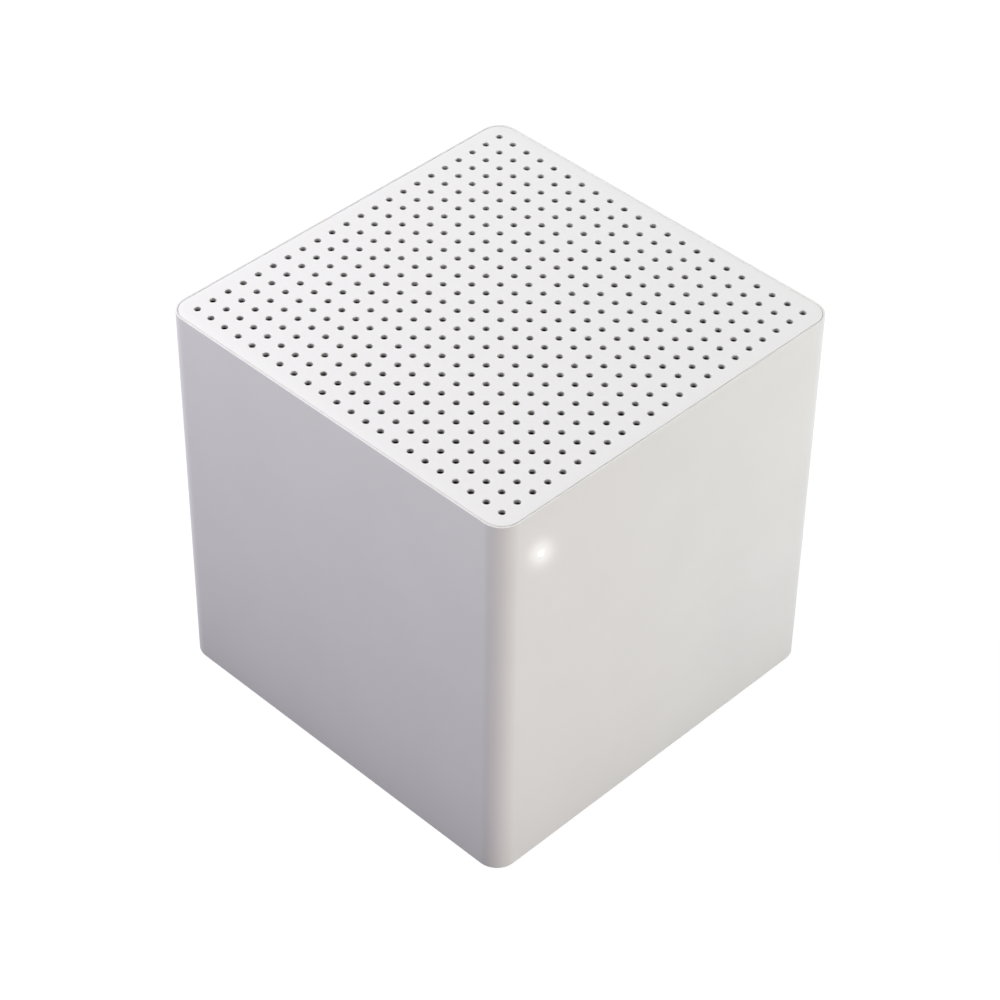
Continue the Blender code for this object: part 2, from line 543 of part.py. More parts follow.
def battery_pack():
    """Two cylindrical cells in a tray, under a saddle clamp, with a protection board at their ends."""
    tray = piece("battery_tray", "black_plastic", (add_box, (-0.0345, -0.021, TRAY_BOTTOM), (0.0345, 0.021, TRAY_TOP)))
    room = CELL_RADIUS + GAP
    turn = (0, radians(90), 0)
    grooves = [(add_rod, -CELL_Z, sy * CELL_Y, -0.0328, 0.0328, room, 24) for sy in (-1, 1)]
    combine(tray, "DIFFERENCE", helper("cell_grooves", *grooves, turn=turn))
    clamp_top = CELL_Z + CELL_RADIUS + 0.002
    clamp = piece("battery_clamp", "black_plastic", (add_box, (-0.005, -0.021, TRAY_TOP + GAP), (0.005, 0.021, clamp_top)))
    rooms = [(add_rod, -CELL_Z, sy * CELL_Y, -0.0328, 0.0328, room, 24) for sy in (-1, 1)]
    combine(clamp, "DIFFERENCE", helper("cell_rooms", *rooms, turn=turn))
    for side, sy in (("front", -1), ("rear", 1)):
        half = CELL_LENGTH / 2
        profile = [(0, -half), (CELL_RADIUS, -half), (CELL_RADIUS, half - 0.0016), (CELL_RADIUS - 0.0006, half - 0.001)]
        profile += [(0.0035, half - 0.001), (0.0035, half), (0, half)]
        piece(f"battery_cell_{side}", "cell_wrap", (add_turned, profile, 20), at=(0, sy * CELL_Y, CELL_Z), turn=turn)
    low = TRAY_TOP + GAP
    piece("battery_protection_board", "green_board", (add_box, (0.0329, -0.013, low), (0.0339, 0.013, low + 0.010)))


# ---- Leads inside the housing --------------------------------------------------------------------------------------


def smooth(points, spacing):
    """Points about this far apart on a smooth curve through the given ones."""
    ends = [points[0] * 2 - points[1], *points, points[-1] * 2 - points[-2]]
    line = [points[0]]
    for before, start, end, after in zip(ends, ends[1:], ends[2:], ends[3:]):
        steps = max(1, round((end - start).length / spacing))
        for i in range(1, steps + 1):
            t = i / steps
            bend = (end - before) * t + (before * 2 - start * 5 + end * 4 - after) * t**2
            line.append(start + (bend + (start * 3 - before - end * 3 + after) * t**3) / 2)
    return line


def lead(name, route, radius):
    """A two-core lead along a route given in millimetres."""
    points = smooth([Vector(p) / 1000 for p in route], 5 * radius)
    curve = bpy.data.curves.new(name, "CURVE")
    curve.dimensions = "3D"
    curve.bevel_depth = radius
    curve.bevel_resolution = 1
    curve.use_fill_caps = True
    spline = curve.splines.new("POLY")
    spline.points.add(len(points) - 1)
    for place, point in zip(spline.points, points):
        place.co = (*point, 1)
    curve.materials.append(finish("cable_jacket"))
    bpy.context.scene.collection.objects.link(bpy.data.objects.new(name, curve))


def leads():
    board = 1000 * BOARD_FRONT - 0.8
    lead("speaker_lead", [(2, board, 34.5), (2, 30.5, 38), (1, 28.5, 46), (0, 26.8, 52), (0, 24.9, 56.2)], 0.0008)
    route = [(34.8, 6, 16), (36.4, 7, 16.3), (37.5, 11, 17.5), (37.3, 19, 20), (34.5, 26, 22.5), (29.5, 29.5, 24)]
    lead("battery_lead", [*route, (27, 31, 24.2), (26.5, board, 24.2)], 0.0008)
    route = [(28, -36.6, 76.2), (28, -36.6, 68), (28.5, -36, 60), (31, -32.5, 52), (36, -27, 46), (38, -18, 42)]
    route += [(38.3, -5, 39), (38.2, 10, 37), (37, 21, 35), (33, 27.5, 33), (28.5, 29.5, 30.5), (24, 31, 28.5)]
    lead("front_board_lead", [*route, (22, board, 28)], 0.0008)


# ---- Assembly ------------------------------------------------------------------------------------------------------

for left_over in list(bpy.data.objects):
    bpy.data.objects.remove(left_over)

housing_shell()
grille_plate()
grille_cloth()
base_plate()
feet_and_base_screws()
light_pipe()
baffle_plate()
driver_frame()
driver_motor()
driver_moving_parts()
main_board()
socket_and_buttons()
front_board()
battery_pack()
leads()
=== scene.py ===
"""Looks for a white cube-shaped smart speaker: housing, perforated top, driver, boards, battery and studio.

The frame gives the places of its nodes. Surfaces are grids of points worked out with numpy. Lengths are in
metres, except in the profiles of turned, hoop and rod, which are in millimetres.
"""

import math

import bmesh
import bpy
import numpy as np
from mathutils import Matrix, Vector


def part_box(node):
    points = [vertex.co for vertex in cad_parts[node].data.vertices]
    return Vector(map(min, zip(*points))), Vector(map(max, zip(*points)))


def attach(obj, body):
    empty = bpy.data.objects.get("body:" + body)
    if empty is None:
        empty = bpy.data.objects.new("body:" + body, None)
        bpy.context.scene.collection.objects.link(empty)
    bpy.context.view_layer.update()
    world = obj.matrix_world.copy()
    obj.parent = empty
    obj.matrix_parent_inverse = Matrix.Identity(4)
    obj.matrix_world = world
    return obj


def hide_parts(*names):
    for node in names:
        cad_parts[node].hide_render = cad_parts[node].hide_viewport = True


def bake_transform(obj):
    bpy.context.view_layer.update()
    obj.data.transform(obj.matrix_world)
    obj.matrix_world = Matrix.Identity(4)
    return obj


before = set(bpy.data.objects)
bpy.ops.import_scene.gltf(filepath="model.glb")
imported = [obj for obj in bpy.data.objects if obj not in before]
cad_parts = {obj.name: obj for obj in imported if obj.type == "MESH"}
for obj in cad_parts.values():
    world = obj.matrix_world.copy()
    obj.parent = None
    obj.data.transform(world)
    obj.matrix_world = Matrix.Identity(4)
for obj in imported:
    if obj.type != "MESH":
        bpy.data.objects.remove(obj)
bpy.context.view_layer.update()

MM = 0.001
TURN = 2 * math.pi

# ---- Sizes, read from the frame ----------------------------------

HOUSING_LOW, HOUSING_HIGH = (np.array(c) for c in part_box("housing_shell"))
GRILLE_LOW, GRILLE_HIGH = (np.array(c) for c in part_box("grille_plate"))
HALF = HOUSING_HIGH[0]
TOP = HOUSING_HIGH[2]
CORNER = 4.3 * MM
SEAM = 0.085 * MM  # dark line between the grille and the housing's lip
LIP = 0.40 * MM
GRILLE_HALF = HALF - LIP - SEAM
HOLES = 22
PITCH = 3.66 * MM
HOLE_RADIUS = 0.67 * MM
LIGHT = np.array([-32.95, -42.5, 74.75]) * MM

# ---- Surfaces ----------------------------------------------------

FACING = {
    "up": np.eye(3),
    "down": np.array([[1, 0, 0], [0, -1, 0], [0, 0, -1.0]]),
    "rear": np.array([[1, 0, 0], [0, 0, 1], [0, -1, 0.0]]),
    "front": np.array([[1, 0, 0], [0, 0, -1], [0, 1, 0.0]]),
    "right": np.array([[0, 0, 1], [0, 1, 0], [-1, 0, 0.0]]),
}


def placed(points, facing="up", at=(0, 0, 0)):
    """The points turned so that their own +Z looks that way, then moved to `at`."""
    return points @ FACING[facing].T + np.array(at, float)


def quads(rows, columns, round_rows, round_columns):
    """Corner numbers of a grid's faces. A round direction joins its last line to its first."""
    r, c = np.meshgrid(np.arange(rows - (not round_rows)), np.arange(columns - (not round_columns)),
        indexing="ij")
    below, beside = (r + 1) % rows, (c + 1) % columns
    corners = [r * columns + c, r * columns + beside, below * columns + beside, below * columns + c]
    return np.stack(corners, -1).reshape(-1, 4)


def mesh_of(name, grids, merge=1e-7):
    """One mesh from grids (points, round_rows, round_columns), equal points merged, faces turned out."""
    points, faces, first = [], [], 0
    for grid, round_rows, round_columns in grids:
        rows, columns = grid.shape[:2]
        points.append(grid.reshape(-1, 3))
        faces.append(quads(rows, columns, round_rows, round_columns) + first)
        first += rows * columns
    mesh = bpy.data.meshes.new(name)
    mesh.from_pydata(np.concatenate(points), [], np.concatenate(faces).tolist())
    bm = bmesh.new()
    bm.from_mesh(mesh)
    bmesh.ops.remove_doubles(bm, verts=bm.verts, dist=merge)
    bmesh.ops.dissolve_degenerate(bm, edges=bm.edges, dist=merge)
    bmesh.ops.recalc_face_normals(bm, faces=bm.faces)
    bm.to_mesh(mesh)
    bm.free()
    return mesh


def show(name, grids, paint, body="housing", stands_for=(), sharp=35):
    """A finished piece: its mesh at the origin, its material, its body and the nodes it stands for."""
    made = bpy.data.objects.new(name, mesh_of(name, grids) if isinstance(grids, list) else grids)
    bpy.context.scene.collection.objects.link(made)
    made.data.shade_smooth()
    made.data.set_sharp_from_angle(angle=math.radians(sharp))
    made.data.materials.clear()
    made.data.materials.append(paint)
    if body:
        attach(made, body)
    if stands_for:
        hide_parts(*([stands_for] if isinstance(stands_for, str) else stands_for))
    return made


def cut(mesh, name, cutters):
    """The mesh with the cutters' shapes taken away, worked out at once so that no modifier stays."""
    body = bpy.data.objects.new(name, mesh)
    tool = bpy.data.objects.new(name + "_tool", mesh_of(name + "_tool", cutters))
    for made in (body, tool):
        bpy.context.scene.collection.objects.link(made)
    change = body.modifiers.new("cut", "BOOLEAN")
    change.operation, change.solver, change.object = "DIFFERENCE", "EXACT", tool
    result = bpy.data.meshes.new_from_object(body.evaluated_get(bpy.context.evaluated_depsgraph_get()))
    for made in (body, tool):
        bpy.data.objects.remove(made)
    return result


def turned(profile, sides=48, facing="up", at=(0, 0, 0)):
    """A profile of (radius, height) points in millimetres carried round: x = r cos a, y = r sin a, z = h."""
    profile = np.array(profile, float) * MM
    angle = np.linspace(0, TURN, sides, endpoint=False)
    r, h = profile[:, 0, None], profile[:, 1, None]
    grid = np.stack([r * np.cos(angle), r * np.sin(angle), h + 0 * angle], -1)
    return placed(grid, facing, at), False, True


def hoop(profile, sides=48, facing="up", at=(0, 0, 0)):
    """The same for a profile that closes on itself, as a ring's does."""
    return turned(profile, sides, facing, at)[0], True, True


def rod(radius, low, high, sides, facing="up", at=(0, 0, 0)):
    """A plain round rod, in millimetres, that cuts a hole."""
    return turned([(0, low), (radius, low), (radius, high), (0, high)], sides, facing, at)


def outline(half_x, half_y, radius, steps=6):
    """Points anticlockwise round a rectangle: each corner is a quarter circle in that many steps."""
    quarter = np.linspace(0, math.pi / 2, steps + 1)
    angle = np.concatenate([quarter + k * math.pi / 2 for k in range(4)])
    sx, sy = np.repeat([1, -1, -1, 1], steps + 1), np.repeat([1, 1, -1, -1], steps + 1)
    return np.stack([sx * (half_x - radius) + radius * np.cos(angle),
        sy * (half_y - radius) + radius * np.sin(angle)], -1)


def stack(half_x, half_y, radius, levels, steps=6, facing="up", at=(0, 0, 0), capped=True):
    """A rounded rectangle at each level (inset, height), joined level to level, a point closing each end."""
    rings = []
    for inset, height in levels:
        ring = outline(half_x - inset, half_y - inset, max(radius - inset, 0.02 * MM), steps)
        rings.append(np.column_stack([ring, np.full(len(ring), height)]))
    if capped:
        rings = [rings[0] * (0, 0, 1), *rings, rings[-1] * (0, 0, 1)]
    return placed(np.array(rings), facing, at), not capped, True


def block(low, high, edge=0.15 * MM, steps=2):
    """A box between two corners, its edges rounded by `edge`, as a stack of rounded rectangles."""
    low, high = np.array(low, float), np.array(high, float)
    half, middle = (high - low) / 2, (high + low) / 2
    edge = min(edge, 0.45 * half.min())
    rise = half[2]
    levels = [(edge, -rise), (edge * 0.3, -rise + edge * 0.3), (0, -rise + edge), (0, rise - edge),
        (edge * 0.3, rise - edge * 0.3), (edge, rise)]
    return stack(half[0], half[1], edge, levels, steps, at=middle)


def round_edge(length, radius, steps=3):
    """Levels of a slab whose rims are quarter circles: (inset, height) from the bottom rim to the top one."""
    a = np.linspace(0, math.pi / 2, steps + 1)
    low = np.stack([radius * (1 - np.sin(a)), radius * (1 - np.cos(a))], -1)
    return np.concatenate([low, (low * (1, -1) + (0, length))[::-1]])


def along(path):
    """(tangent, side, up) of each point of a path. The side is carried along without turning about it."""
    tangent = np.gradient(path, axis=0)
    tangent /= np.linalg.norm(tangent, axis=1)[:, None]
    side = [np.cross(tangent[0], (0.31, 0.17, 0.94))]
    for t in tangent:
        held = side[-1] - t * (side[-1] @ t)
        side.append(held / np.linalg.norm(held))
    side = np.array(side[1:])
    return tangent, side, np.cross(tangent, side)


def tube(path, radius, sides=8):
    """A circle carried along a path, closed by a point at each end."""
    _, side, up = along(path)
    angle = np.linspace(0, TURN, sides, endpoint=False)[None, :, None]
    rings = path[:, None] + radius * (np.cos(angle) * side[:, None] + np.sin(angle) * up[:, None])
    ends = np.repeat(path[[0, -1], None], sides, axis=1)
    return np.concatenate([ends[:1], rings, ends[1:]]), False, True


def flowing(route, count):
    """Points on a smooth curve through a route: between points, a cubic that keeps the neighbours' slope."""
    route = np.array(route, float)
    ends = np.concatenate([[2 * route[0] - route[1]], route, [2 * route[-1] - route[-2]]])
    where = np.linspace(0, len(route) - 1 - 1e-9, count)
    k, t = where.astype(int), (where % 1)[:, None]
    a, b, c, d = (ends[k + i] for i in range(4))
    return b + (c - a) * t / 2 + (2 * a - 5 * b + 4 * c - d) * t**2 / 2 + (3 * b - a - 3 * c + d) * t**3 / 2


# ---- Shader maths ------------------------------------------------


class Field:
    """A number that varies over a surface. Sums, products and comparisons of it add Math nodes."""

    def __init__(self, paint, socket):
        self.paint, self.socket = paint, socket

    def maths(self, operation, *values):
        return self.paint.node("Math", {"operation": operation}, dict(enumerate(values)))

    def __add__(self, other):
        return self.maths("ADD", self, other)

    def __sub__(self, other):
        return self.maths("SUBTRACT", self, other)

    def __rsub__(self, other):
        return self.maths("SUBTRACT", other, self)

    def __mul__(self, other):
        return self.maths("MULTIPLY", self, other)

    def __truediv__(self, other):
        return self.maths("DIVIDE", self, other)

    def __rtruediv__(self, other):
        return self.maths("DIVIDE", other, self)

    def __pow__(self, other):
        return self.maths("POWER", self, other)

    def __rpow__(self, other):
        return self.maths("POWER", other, self)

    def __lt__(self, other):
        return self.maths("LESS_THAN", self, other)

    def __gt__(self, other):
        return self.maths("GREATER_THAN", self, other)

    def __mod__(self, other):
        return self.maths("FLOORED_MODULO", self, other)

    def __abs__(self):
        return self.maths("ABSOLUTE", self)

    __radd__, __rmul__ = __add__, __mul__

    def sine(self):
        return self.maths("SINE", self)

    def root(self):
        return self.maths("SQRT", self)

    def step(self, low, high):
        """0 below low, 1 above high and a smooth rise between."""
        return self.paint.node("MapRange", {"interpolation_type": "SMOOTHSTEP"},
            {"Value": self, "From Min": low, "From Max": high})


class Paint:
    """One material: its Principled shader and the nodes that feed it."""

    def __init__(self, name, **constants):
        self.material = bpy.data.materials.new(name)
        self.material.use_nodes = True
        self.tree = self.material.node_tree
        self.shader = self.tree.nodes["Principled BSDF"]
        for socket, value in constants.items():
            self.set(socket.replace("_", " "), value)
        self.place = self.node("TexCoord", {}, {}, "Object")

    def node(self, kind, settings, inputs, output=0):
        """A node of that kind: its settings first, then its sockets' values or links. Returns one output."""
        made = self.tree.nodes.new("ShaderNode" + kind)
        for name, value in settings.items():
            setattr(made, name, value)
        for name, value in inputs.items():
            self.join(made.inputs[name], value)
        return Field(self, made.outputs[output])

    def join(self, socket, value):
        if isinstance(value, Field):
            self.tree.links.new(value.socket, socket)
        else:
            is_colour = isinstance(value, tuple) and socket.type == "RGBA"
            socket.default_value = (*value, 1) if is_colour else value

    def set(self, name, value):
        """What a socket of the shader gets, a number, a colour or a field."""
        self.join(self.shader.inputs[name], value)
        return self

    def axes(self):
        """The x, y and z of the object's own space, in metres."""
        split = self.tree.nodes.new("ShaderNodeSeparateXYZ")
        self.tree.links.new(self.place.socket, split.inputs[0])
        return [Field(self, out) for out in split.outputs]

    def noise(self, size, detail=2, stretch=(1, 1, 1)):
        """Cloudy values round a half, in lumps of about this size in metres, longer on a stretched axis."""
        scale = tuple(1 / (size * s) for s in stretch)
        mapped = self.node("Mapping", {}, {"Vector": self.place, "Scale": scale})
        return self.node("TexNoise", {}, {"Vector": mapped, "Scale": 1.0, "Detail": detail}, "Fac")

    def cells(self, size):
        """Distance to the nearest of scattered points about this far apart."""
        return self.node("TexVoronoi", {}, {"Vector": self.place, "Scale": 1 / size}, "Distance")

    def mix(self, factor, first, second):
        """A colour between two, by a field from 0 to 1."""
        made = self.tree.nodes.new("ShaderNodeMix")
        made.data_type = "RGBA"
        for number, value in ((0, factor), (6, first), (7, second)):
            self.join(made.inputs[number], value)
        return Field(self, made.outputs[2])

    def bump(self, height, distance, strength=1.0):
        """Sets the shader's normal from a height field, where a height of 1 stands that far out in metres."""
        return self.set("Normal", self.node("Bump", {},
            {"Height": height, "Distance": distance, "Strength": strength}))

    def done(self):
        return self.material


def spark_plastic(name, colour, roughness=0.42, grain=0.16 * MM, depth=0.0032 * MM, extra=None):
    """Moulded plastic from a spark-eroded tool: even fine grain, faint cloudiness, slightly uneven gloss."""
    paint = Paint(name, IOR=1.49)
    cloud, fine = paint.noise(14 * MM, 3), paint.noise(grain, 2)
    darker = tuple(c * 0.975 for c in colour)
    paint.set("Base Color", paint.mix((cloud * 0.7 + fine * 0.3).step(0.3, 0.7), darker, colour))
    paint.set("Roughness", roughness + (fine - 0.5) * 0.16 + (cloud - 0.5) * 0.05)
    paint.bump(fine + paint.cells(grain * 1.7) * 0.6, depth)
    if extra:
        extra(paint)
    return paint.done()


def status_glow(paint):
    """Light that leaves the wall round the pipe: a bell curve over a leaning oval."""
    x, y, z = paint.axes()
    across, up = (x - LIGHT[0]) / MM, (z - LIGHT[2] - 0.2 * MM) / MM
    oval = across * across * 0.155 + across * up * 0.110 + up * up * 0.134
    halo = 2.718 ** (oval * -1) * 0.29
    on_front = y < -HALF + 0.4 * MM
    paint.set("Emission Color", paint.mix(halo * on_front, (0, 0, 0), (1.0, 1.0, 0.98)))
    paint.set("Emission Strength", 1.0)


HOUSING_WHITE = spark_plastic("housing_plastic", (0.800, 0.795, 0.785), extra=status_glow)
PLAIN_WHITE = spark_plastic("plain_white_plastic", (0.800, 0.795, 0.785))


def painted_hole_shade(paint):
    """Painted shade in the holes: below the sheet's top face its white is painted darker and darker grey with
    depth.
    """
    _, _, z = paint.axes()
    wall_shade = (z * -1).step(-TOP + 0.04 * MM, -TOP + 0.6 * MM)
    # painted shade: the walls of the holes are painted grey, darker further down
    paint.set("Base Color", paint.mix(wall_shade, (0.838, 0.834, 0.833), (0.56, 0.56, 0.565)))


GRILLE_WHITE = spark_plastic("grille_coating", (0.838, 0.834, 0.833), 0.48, 0.22 * MM, 0.004 * MM,
    painted_hole_shade)
BLACK_MOULDING = spark_plastic("black_moulding", (0.022, 0.022, 0.023), 0.5, 0.25 * MM, 0.006 * MM)
SWITCH_BLACK = spark_plastic("switch_housing", (0.03, 0.03, 0.03), 0.4, 0.3 * MM, 0.003 * MM)


def woven_cloth():
    """Open black acoustic cloth: threads cross over and under on a fine square mesh."""
    paint = Paint("acoustic_cloth", Roughness=0.95, Sheen_Weight=0.05, Sheen_Roughness=0.6,
        Specular_IOR_Level=0.2)
    x, y, _ = paint.axes()
    turn = TURN / (0.42 * MM)
    warp, weft = (x * turn).sine(), (y * turn).sine()
    over = warp * weft
    thread = abs(warp).step(0.15, 0.9) * 0.5 + abs(weft).step(0.15, 0.9) * 0.5 + over * 0.25
    paint.set("Base Color", paint.mix(thread.step(0.2, 0.9), (0.05, 0.05, 0.05), (0.13, 0.13, 0.131)))
    return paint.bump(thread, 0.05 * MM).done()


def soft_rubber(name, colour, grain=0.3 * MM, depth=0.012 * MM, roughness=0.8):
    """Moulded rubber: matt, faintly dusty, with a fine pitted skin."""
    paint = Paint(name, Specular_IOR_Level=0.35)
    dust, pits = paint.noise(2.2 * MM, 4), paint.noise(grain, 3)
    paint.set("Base Color", paint.mix(dust.step(0.35, 0.75), colour, tuple(c * 1.5 + 0.01 for c in colour)))
    paint.set("Roughness", roughness + (pits - 0.5) * 0.2)
    return paint.bump(pits, depth).done()


def metal(name, colour, roughness=0.3, stretch=(1, 1, 1), size=0.3 * MM, depth=0.002 * MM, coat=0.0):
    """Bare or plated metal: drawing or turning lines along the stretched axis, and slightly clouded gloss."""
    paint = Paint(name, Metallic=1.0, Coat_Weight=coat)
    lines, cloud = paint.noise(size, 3, stretch), paint.noise(5 * MM, 3)
    paint.set("Base Color", paint.mix(cloud.step(0.3, 0.75), tuple(c * 0.86 for c in colour), colour))
    paint.set("Roughness", roughness + (lines - 0.5) * 0.25 + (cloud - 0.5) * 0.1)
    return paint.bump(lines, depth).done()


def coated_steel():
    """Powder-coated pressing: black, orange-peel skin."""
    paint = Paint("basket_coating", Coat_Weight=0.15)
    peel = paint.noise(0.7 * MM, 2)
    paint.set("Base Color", paint.mix(peel, (0.018, 0.018, 0.019), (0.035, 0.035, 0.037)))
    paint.set("Roughness", 0.4 + peel * 0.15)
    return paint.bump(peel, 0.02 * MM).done()


def ferrite():
    """Sintered ferrite: dark grey, speckled, ground flat."""
    paint = Paint("magnet_ferrite")
    speck = paint.noise(0.35 * MM, 5)
    paint.set("Base Color", paint.mix(speck.step(0.4, 0.7), (0.030, 0.030, 0.034), (0.085, 0.085, 0.092)))
    paint.set("Roughness", 0.5 + speck * 0.25)
    return paint.bump(speck, 0.01 * MM).done()


def cone_paper():
    """Pressed paper pulp: black, with short random fibres."""
    paint = Paint("cone_paper", Sheen_Weight=0.15, Specular_IOR_Level=0.3)
    fibre = paint.noise(0.25 * MM, 4, (3, 1, 1)) * 0.5 + paint.noise(0.25 * MM, 4, (1, 3, 1)) * 0.5
    paint.set("Base Color", paint.mix(fibre.step(0.4, 0.65), (0.012, 0.012, 0.012), (0.045, 0.043, 0.041)))
    paint.set("Roughness", 0.75 + fibre * 0.2)
    return paint.bump(fibre, 0.03 * MM).done()


def dipped_cloth():
    """Resin-dipped cotton: amber, woven, a little shiny."""
    paint = Paint("spider_cloth")
    x, y, _ = paint.axes()
    turn = TURN / (0.5 * MM)
    weave = (x * turn).sine() * (y * turn).sine()
    paint.set("Base Color", paint.mix(weave.step(-0.6, 0.8), (0.22, 0.11, 0.02), (0.55, 0.33, 0.09)))
    paint.set("Roughness", 0.55 + weave * 0.1)
    return paint.bump(weave, 0.04 * MM).done()


def winding():
    """Enamelled copper wire laid turn on turn, painted dark in the groove between turns and bright on each
    crest: painted shade and highlight.
    """
    paint = Paint("coil_winding", Metallic=1.0, Coat_Weight=0.6, Coat_Roughness=0.15)
    _, _, z = paint.axes()
    turns = (z * (TURN / (0.16 * MM))).sine()
    on_coil = z < 58.6 * MM
    # painted shade and highlight: each turn is painted bright on its crest and dark in the groove to the next
    wire = paint.mix(turns.step(-0.8, 0.6), (0.25, 0.08, 0.03), (0.80, 0.36, 0.18))
    paint.set("Base Color", paint.mix(on_coil, (0.45, 0.30, 0.12), wire))
    paint.set("Metallic", on_coil * 0.9)
    paint.set("Roughness", 0.28 + paint.noise(1 * MM) * 0.1)
    return paint.bump(turns * on_coil, 0.02 * MM).done()


def circuit_board(name, across):
    """Green solder mask over copper: square routed tracks, ground fill and tinned pads in its plane."""
    paint = Paint(name, Coat_Weight=0.35, Coat_Roughness=0.12)
    axes = dict(zip("xyz", paint.axes()))
    u, v = (axes[a] for a in across)
    wander = paint.noise(6 * MM, 1)
    lanes = abs(((u + wander * 4 * MM) % (0.9 * MM)) - 0.45 * MM) < 0.13 * MM
    cross = abs(((v + wander * 3 * MM) % (1.3 * MM)) - 0.65 * MM) < 0.13 * MM
    zone = paint.noise(9 * MM, 0) > 0.52
    track = zone * lanes + (1 - zone) * cross
    via_u, via_v = ((u % (2.4 * MM)) - 1.2 * MM) * 1000, ((v % (2.1 * MM)) - 1.05 * MM) * 1000
    ring = (via_u * via_u + via_v * via_v).root()
    via = ring < 0.24
    hole = ring < 0.12
    mask = paint.mix(track, (0.006, 0.085, 0.035), (0.012, 0.19, 0.075))
    tinned = paint.mix(via, mask, (0.62, 0.60, 0.55))
    # painted shade: the middle of each via is painted near-black, standing in for the dark inside of a hole
    paint.set("Base Color", paint.mix(hole, tinned, (0.01, 0.01, 0.01)))
    paint.set("Metallic", via * (1 - hole) * 0.9)
    paint.set("Roughness", 0.34 + via * 0.05 + paint.noise(0.4 * MM) * 0.08)
    return paint.bump(track * 0.5 + via, 0.03 * MM).done()


def shrink_wrap():
    """Battery sleeve: blue film with faint lengthwise creases and a pale ring at the positive end."""
    paint = Paint("cell_sleeve", Coat_Weight=0.5, Coat_Roughness=0.1)
    x, _, _ = paint.axes()
    crease = paint.noise(1.6 * MM, 2, (8, 1, 1))
    film = paint.mix(crease, (0.012, 0.085, 0.26), (0.02, 0.13, 0.36))
    paint.set("Base Color", paint.mix(x > 31.45 * MM, film, (0.72, 0.72, 0.70)))
    paint.set("Roughness", 0.28 + crease * 0.12)
    return paint.bump(crease, 0.05 * MM).done()


def clear_resin(name, glow):
    """Clear moulded resin with light inside it, and a slightly frosted tip."""
    paint = Paint(name, Roughness=0.18, IOR=1.49, Coat_Weight=0.3)
    frost = paint.noise(0.12 * MM, 2)
    paint.set("Base Color", paint.mix(frost, (0.88, 0.88, 0.88), (0.95, 0.95, 0.95)))
    paint.set("Emission Color", paint.mix(frost.step(0.2, 0.8), (0.97, 0.98, 1.0), (1.0, 1.0, 1.0)))
    paint.set("Emission Strength", glow)
    return paint.bump(frost, 0.002 * MM).done()


def lit_core():
    """The light pipe's tip: brightest in the middle, and fading to the glow of the wall at its rim."""
    paint = Paint("light_pipe_resin", Roughness=0.3, IOR=1.49, Base_Color=(0.8, 0.795, 0.785),
        Emission_Strength=1.0)
    x, _, z = paint.axes()
    across, up = (x - LIGHT[0]) / MM, (z - LIGHT[2]) / MM
    oval = across * across * 4.2 + across * up * 3.9 + up * up * 3.6
    core = 2.718 ** (oval * oval * -1)
    paint.set("Emission Color", paint.mix(core, (0.27, 0.27, 0.265), (1.5, 1.5, 1.5)))
    frost = paint.noise(0.12 * MM, 2)
    return paint.bump(frost, 0.002 * MM).done()


def jacket(name, colour):
    """Lead insulation: smooth PVC with a faint drawn grain."""
    paint = Paint(name)
    grain = paint.noise(0.4 * MM, 2)
    paint.set("Base Color", paint.mix(grain, tuple(c * 0.8 for c in colour), colour))
    paint.set("Roughness", 0.38 + grain * 0.15)
    return paint.bump(grain, 0.008 * MM).done()


CLOTH = woven_cloth()
FOOT_RUBBER = soft_rubber("foot_rubber", (0.045, 0.045, 0.047))
BOOT_RUBBER = soft_rubber("boot_rubber", (0.02, 0.02, 0.02))
SURROUND_RUBBER = soft_rubber("surround_rubber", (0.012, 0.012, 0.013), 0.2 * MM, 0.004 * MM, 0.55)
GASKET_FOAM = soft_rubber("gasket_foam", (0.02, 0.02, 0.021), 0.6 * MM, 0.12 * MM, 0.95)
ZINC = metal("zinc_screw", (0.62, 0.62, 0.64), 0.3)
STAINLESS = metal("socket_stainless", (0.66, 0.66, 0.67), 0.24, (1, 8, 1), 0.15 * MM)
SOFT_IRON = metal("motor_steel", (0.50, 0.50, 0.52), 0.34, (1, 1, 1), 0.5 * MM, 0.004 * MM)
ALUMINIUM = metal("fin_aluminium", (0.74, 0.74, 0.76), 0.33, (1, 8, 1))
SHIELD = metal("shield_can", (0.70, 0.70, 0.70), 0.3, (8, 1, 1), 0.2 * MM)
GOLD = metal("contact_gold", (0.85, 0.60, 0.25), 0.25)
BASKET = coated_steel()
FERRITE = ferrite()
PAPER = cone_paper()
SPIDER = dipped_cloth()
COIL = winding()
BOARD = circuit_board("main_circuit_board", "xz")
STRIP = circuit_board("front_circuit_board", "xy")
SIDE_BOARD = circuit_board("cell_circuit_board", "yz")
SLEEVE = shrink_wrap()
LIT_TIP = lit_core()
LED_RESIN = clear_resin("led_resin", 1.0)
RED_LEAD = jacket("red_jacket", (0.45, 0.02, 0.015))
BLACK_LEAD = jacket("black_jacket", (0.015, 0.015, 0.016))
CHIP_BLACK = spark_plastic("chip_resin", (0.018, 0.018, 0.02), 0.45, 0.1 * MM, 0.002 * MM)
CERAMIC = spark_plastic("ceramic_chip", (0.42, 0.33, 0.22), 0.45, 0.2 * MM, 0.002 * MM)
CONNECTOR = spark_plastic("connector_nylon", (0.72, 0.70, 0.62), 0.42, 0.2 * MM, 0.002 * MM)

# ---- Housing -----------------------------------------------------


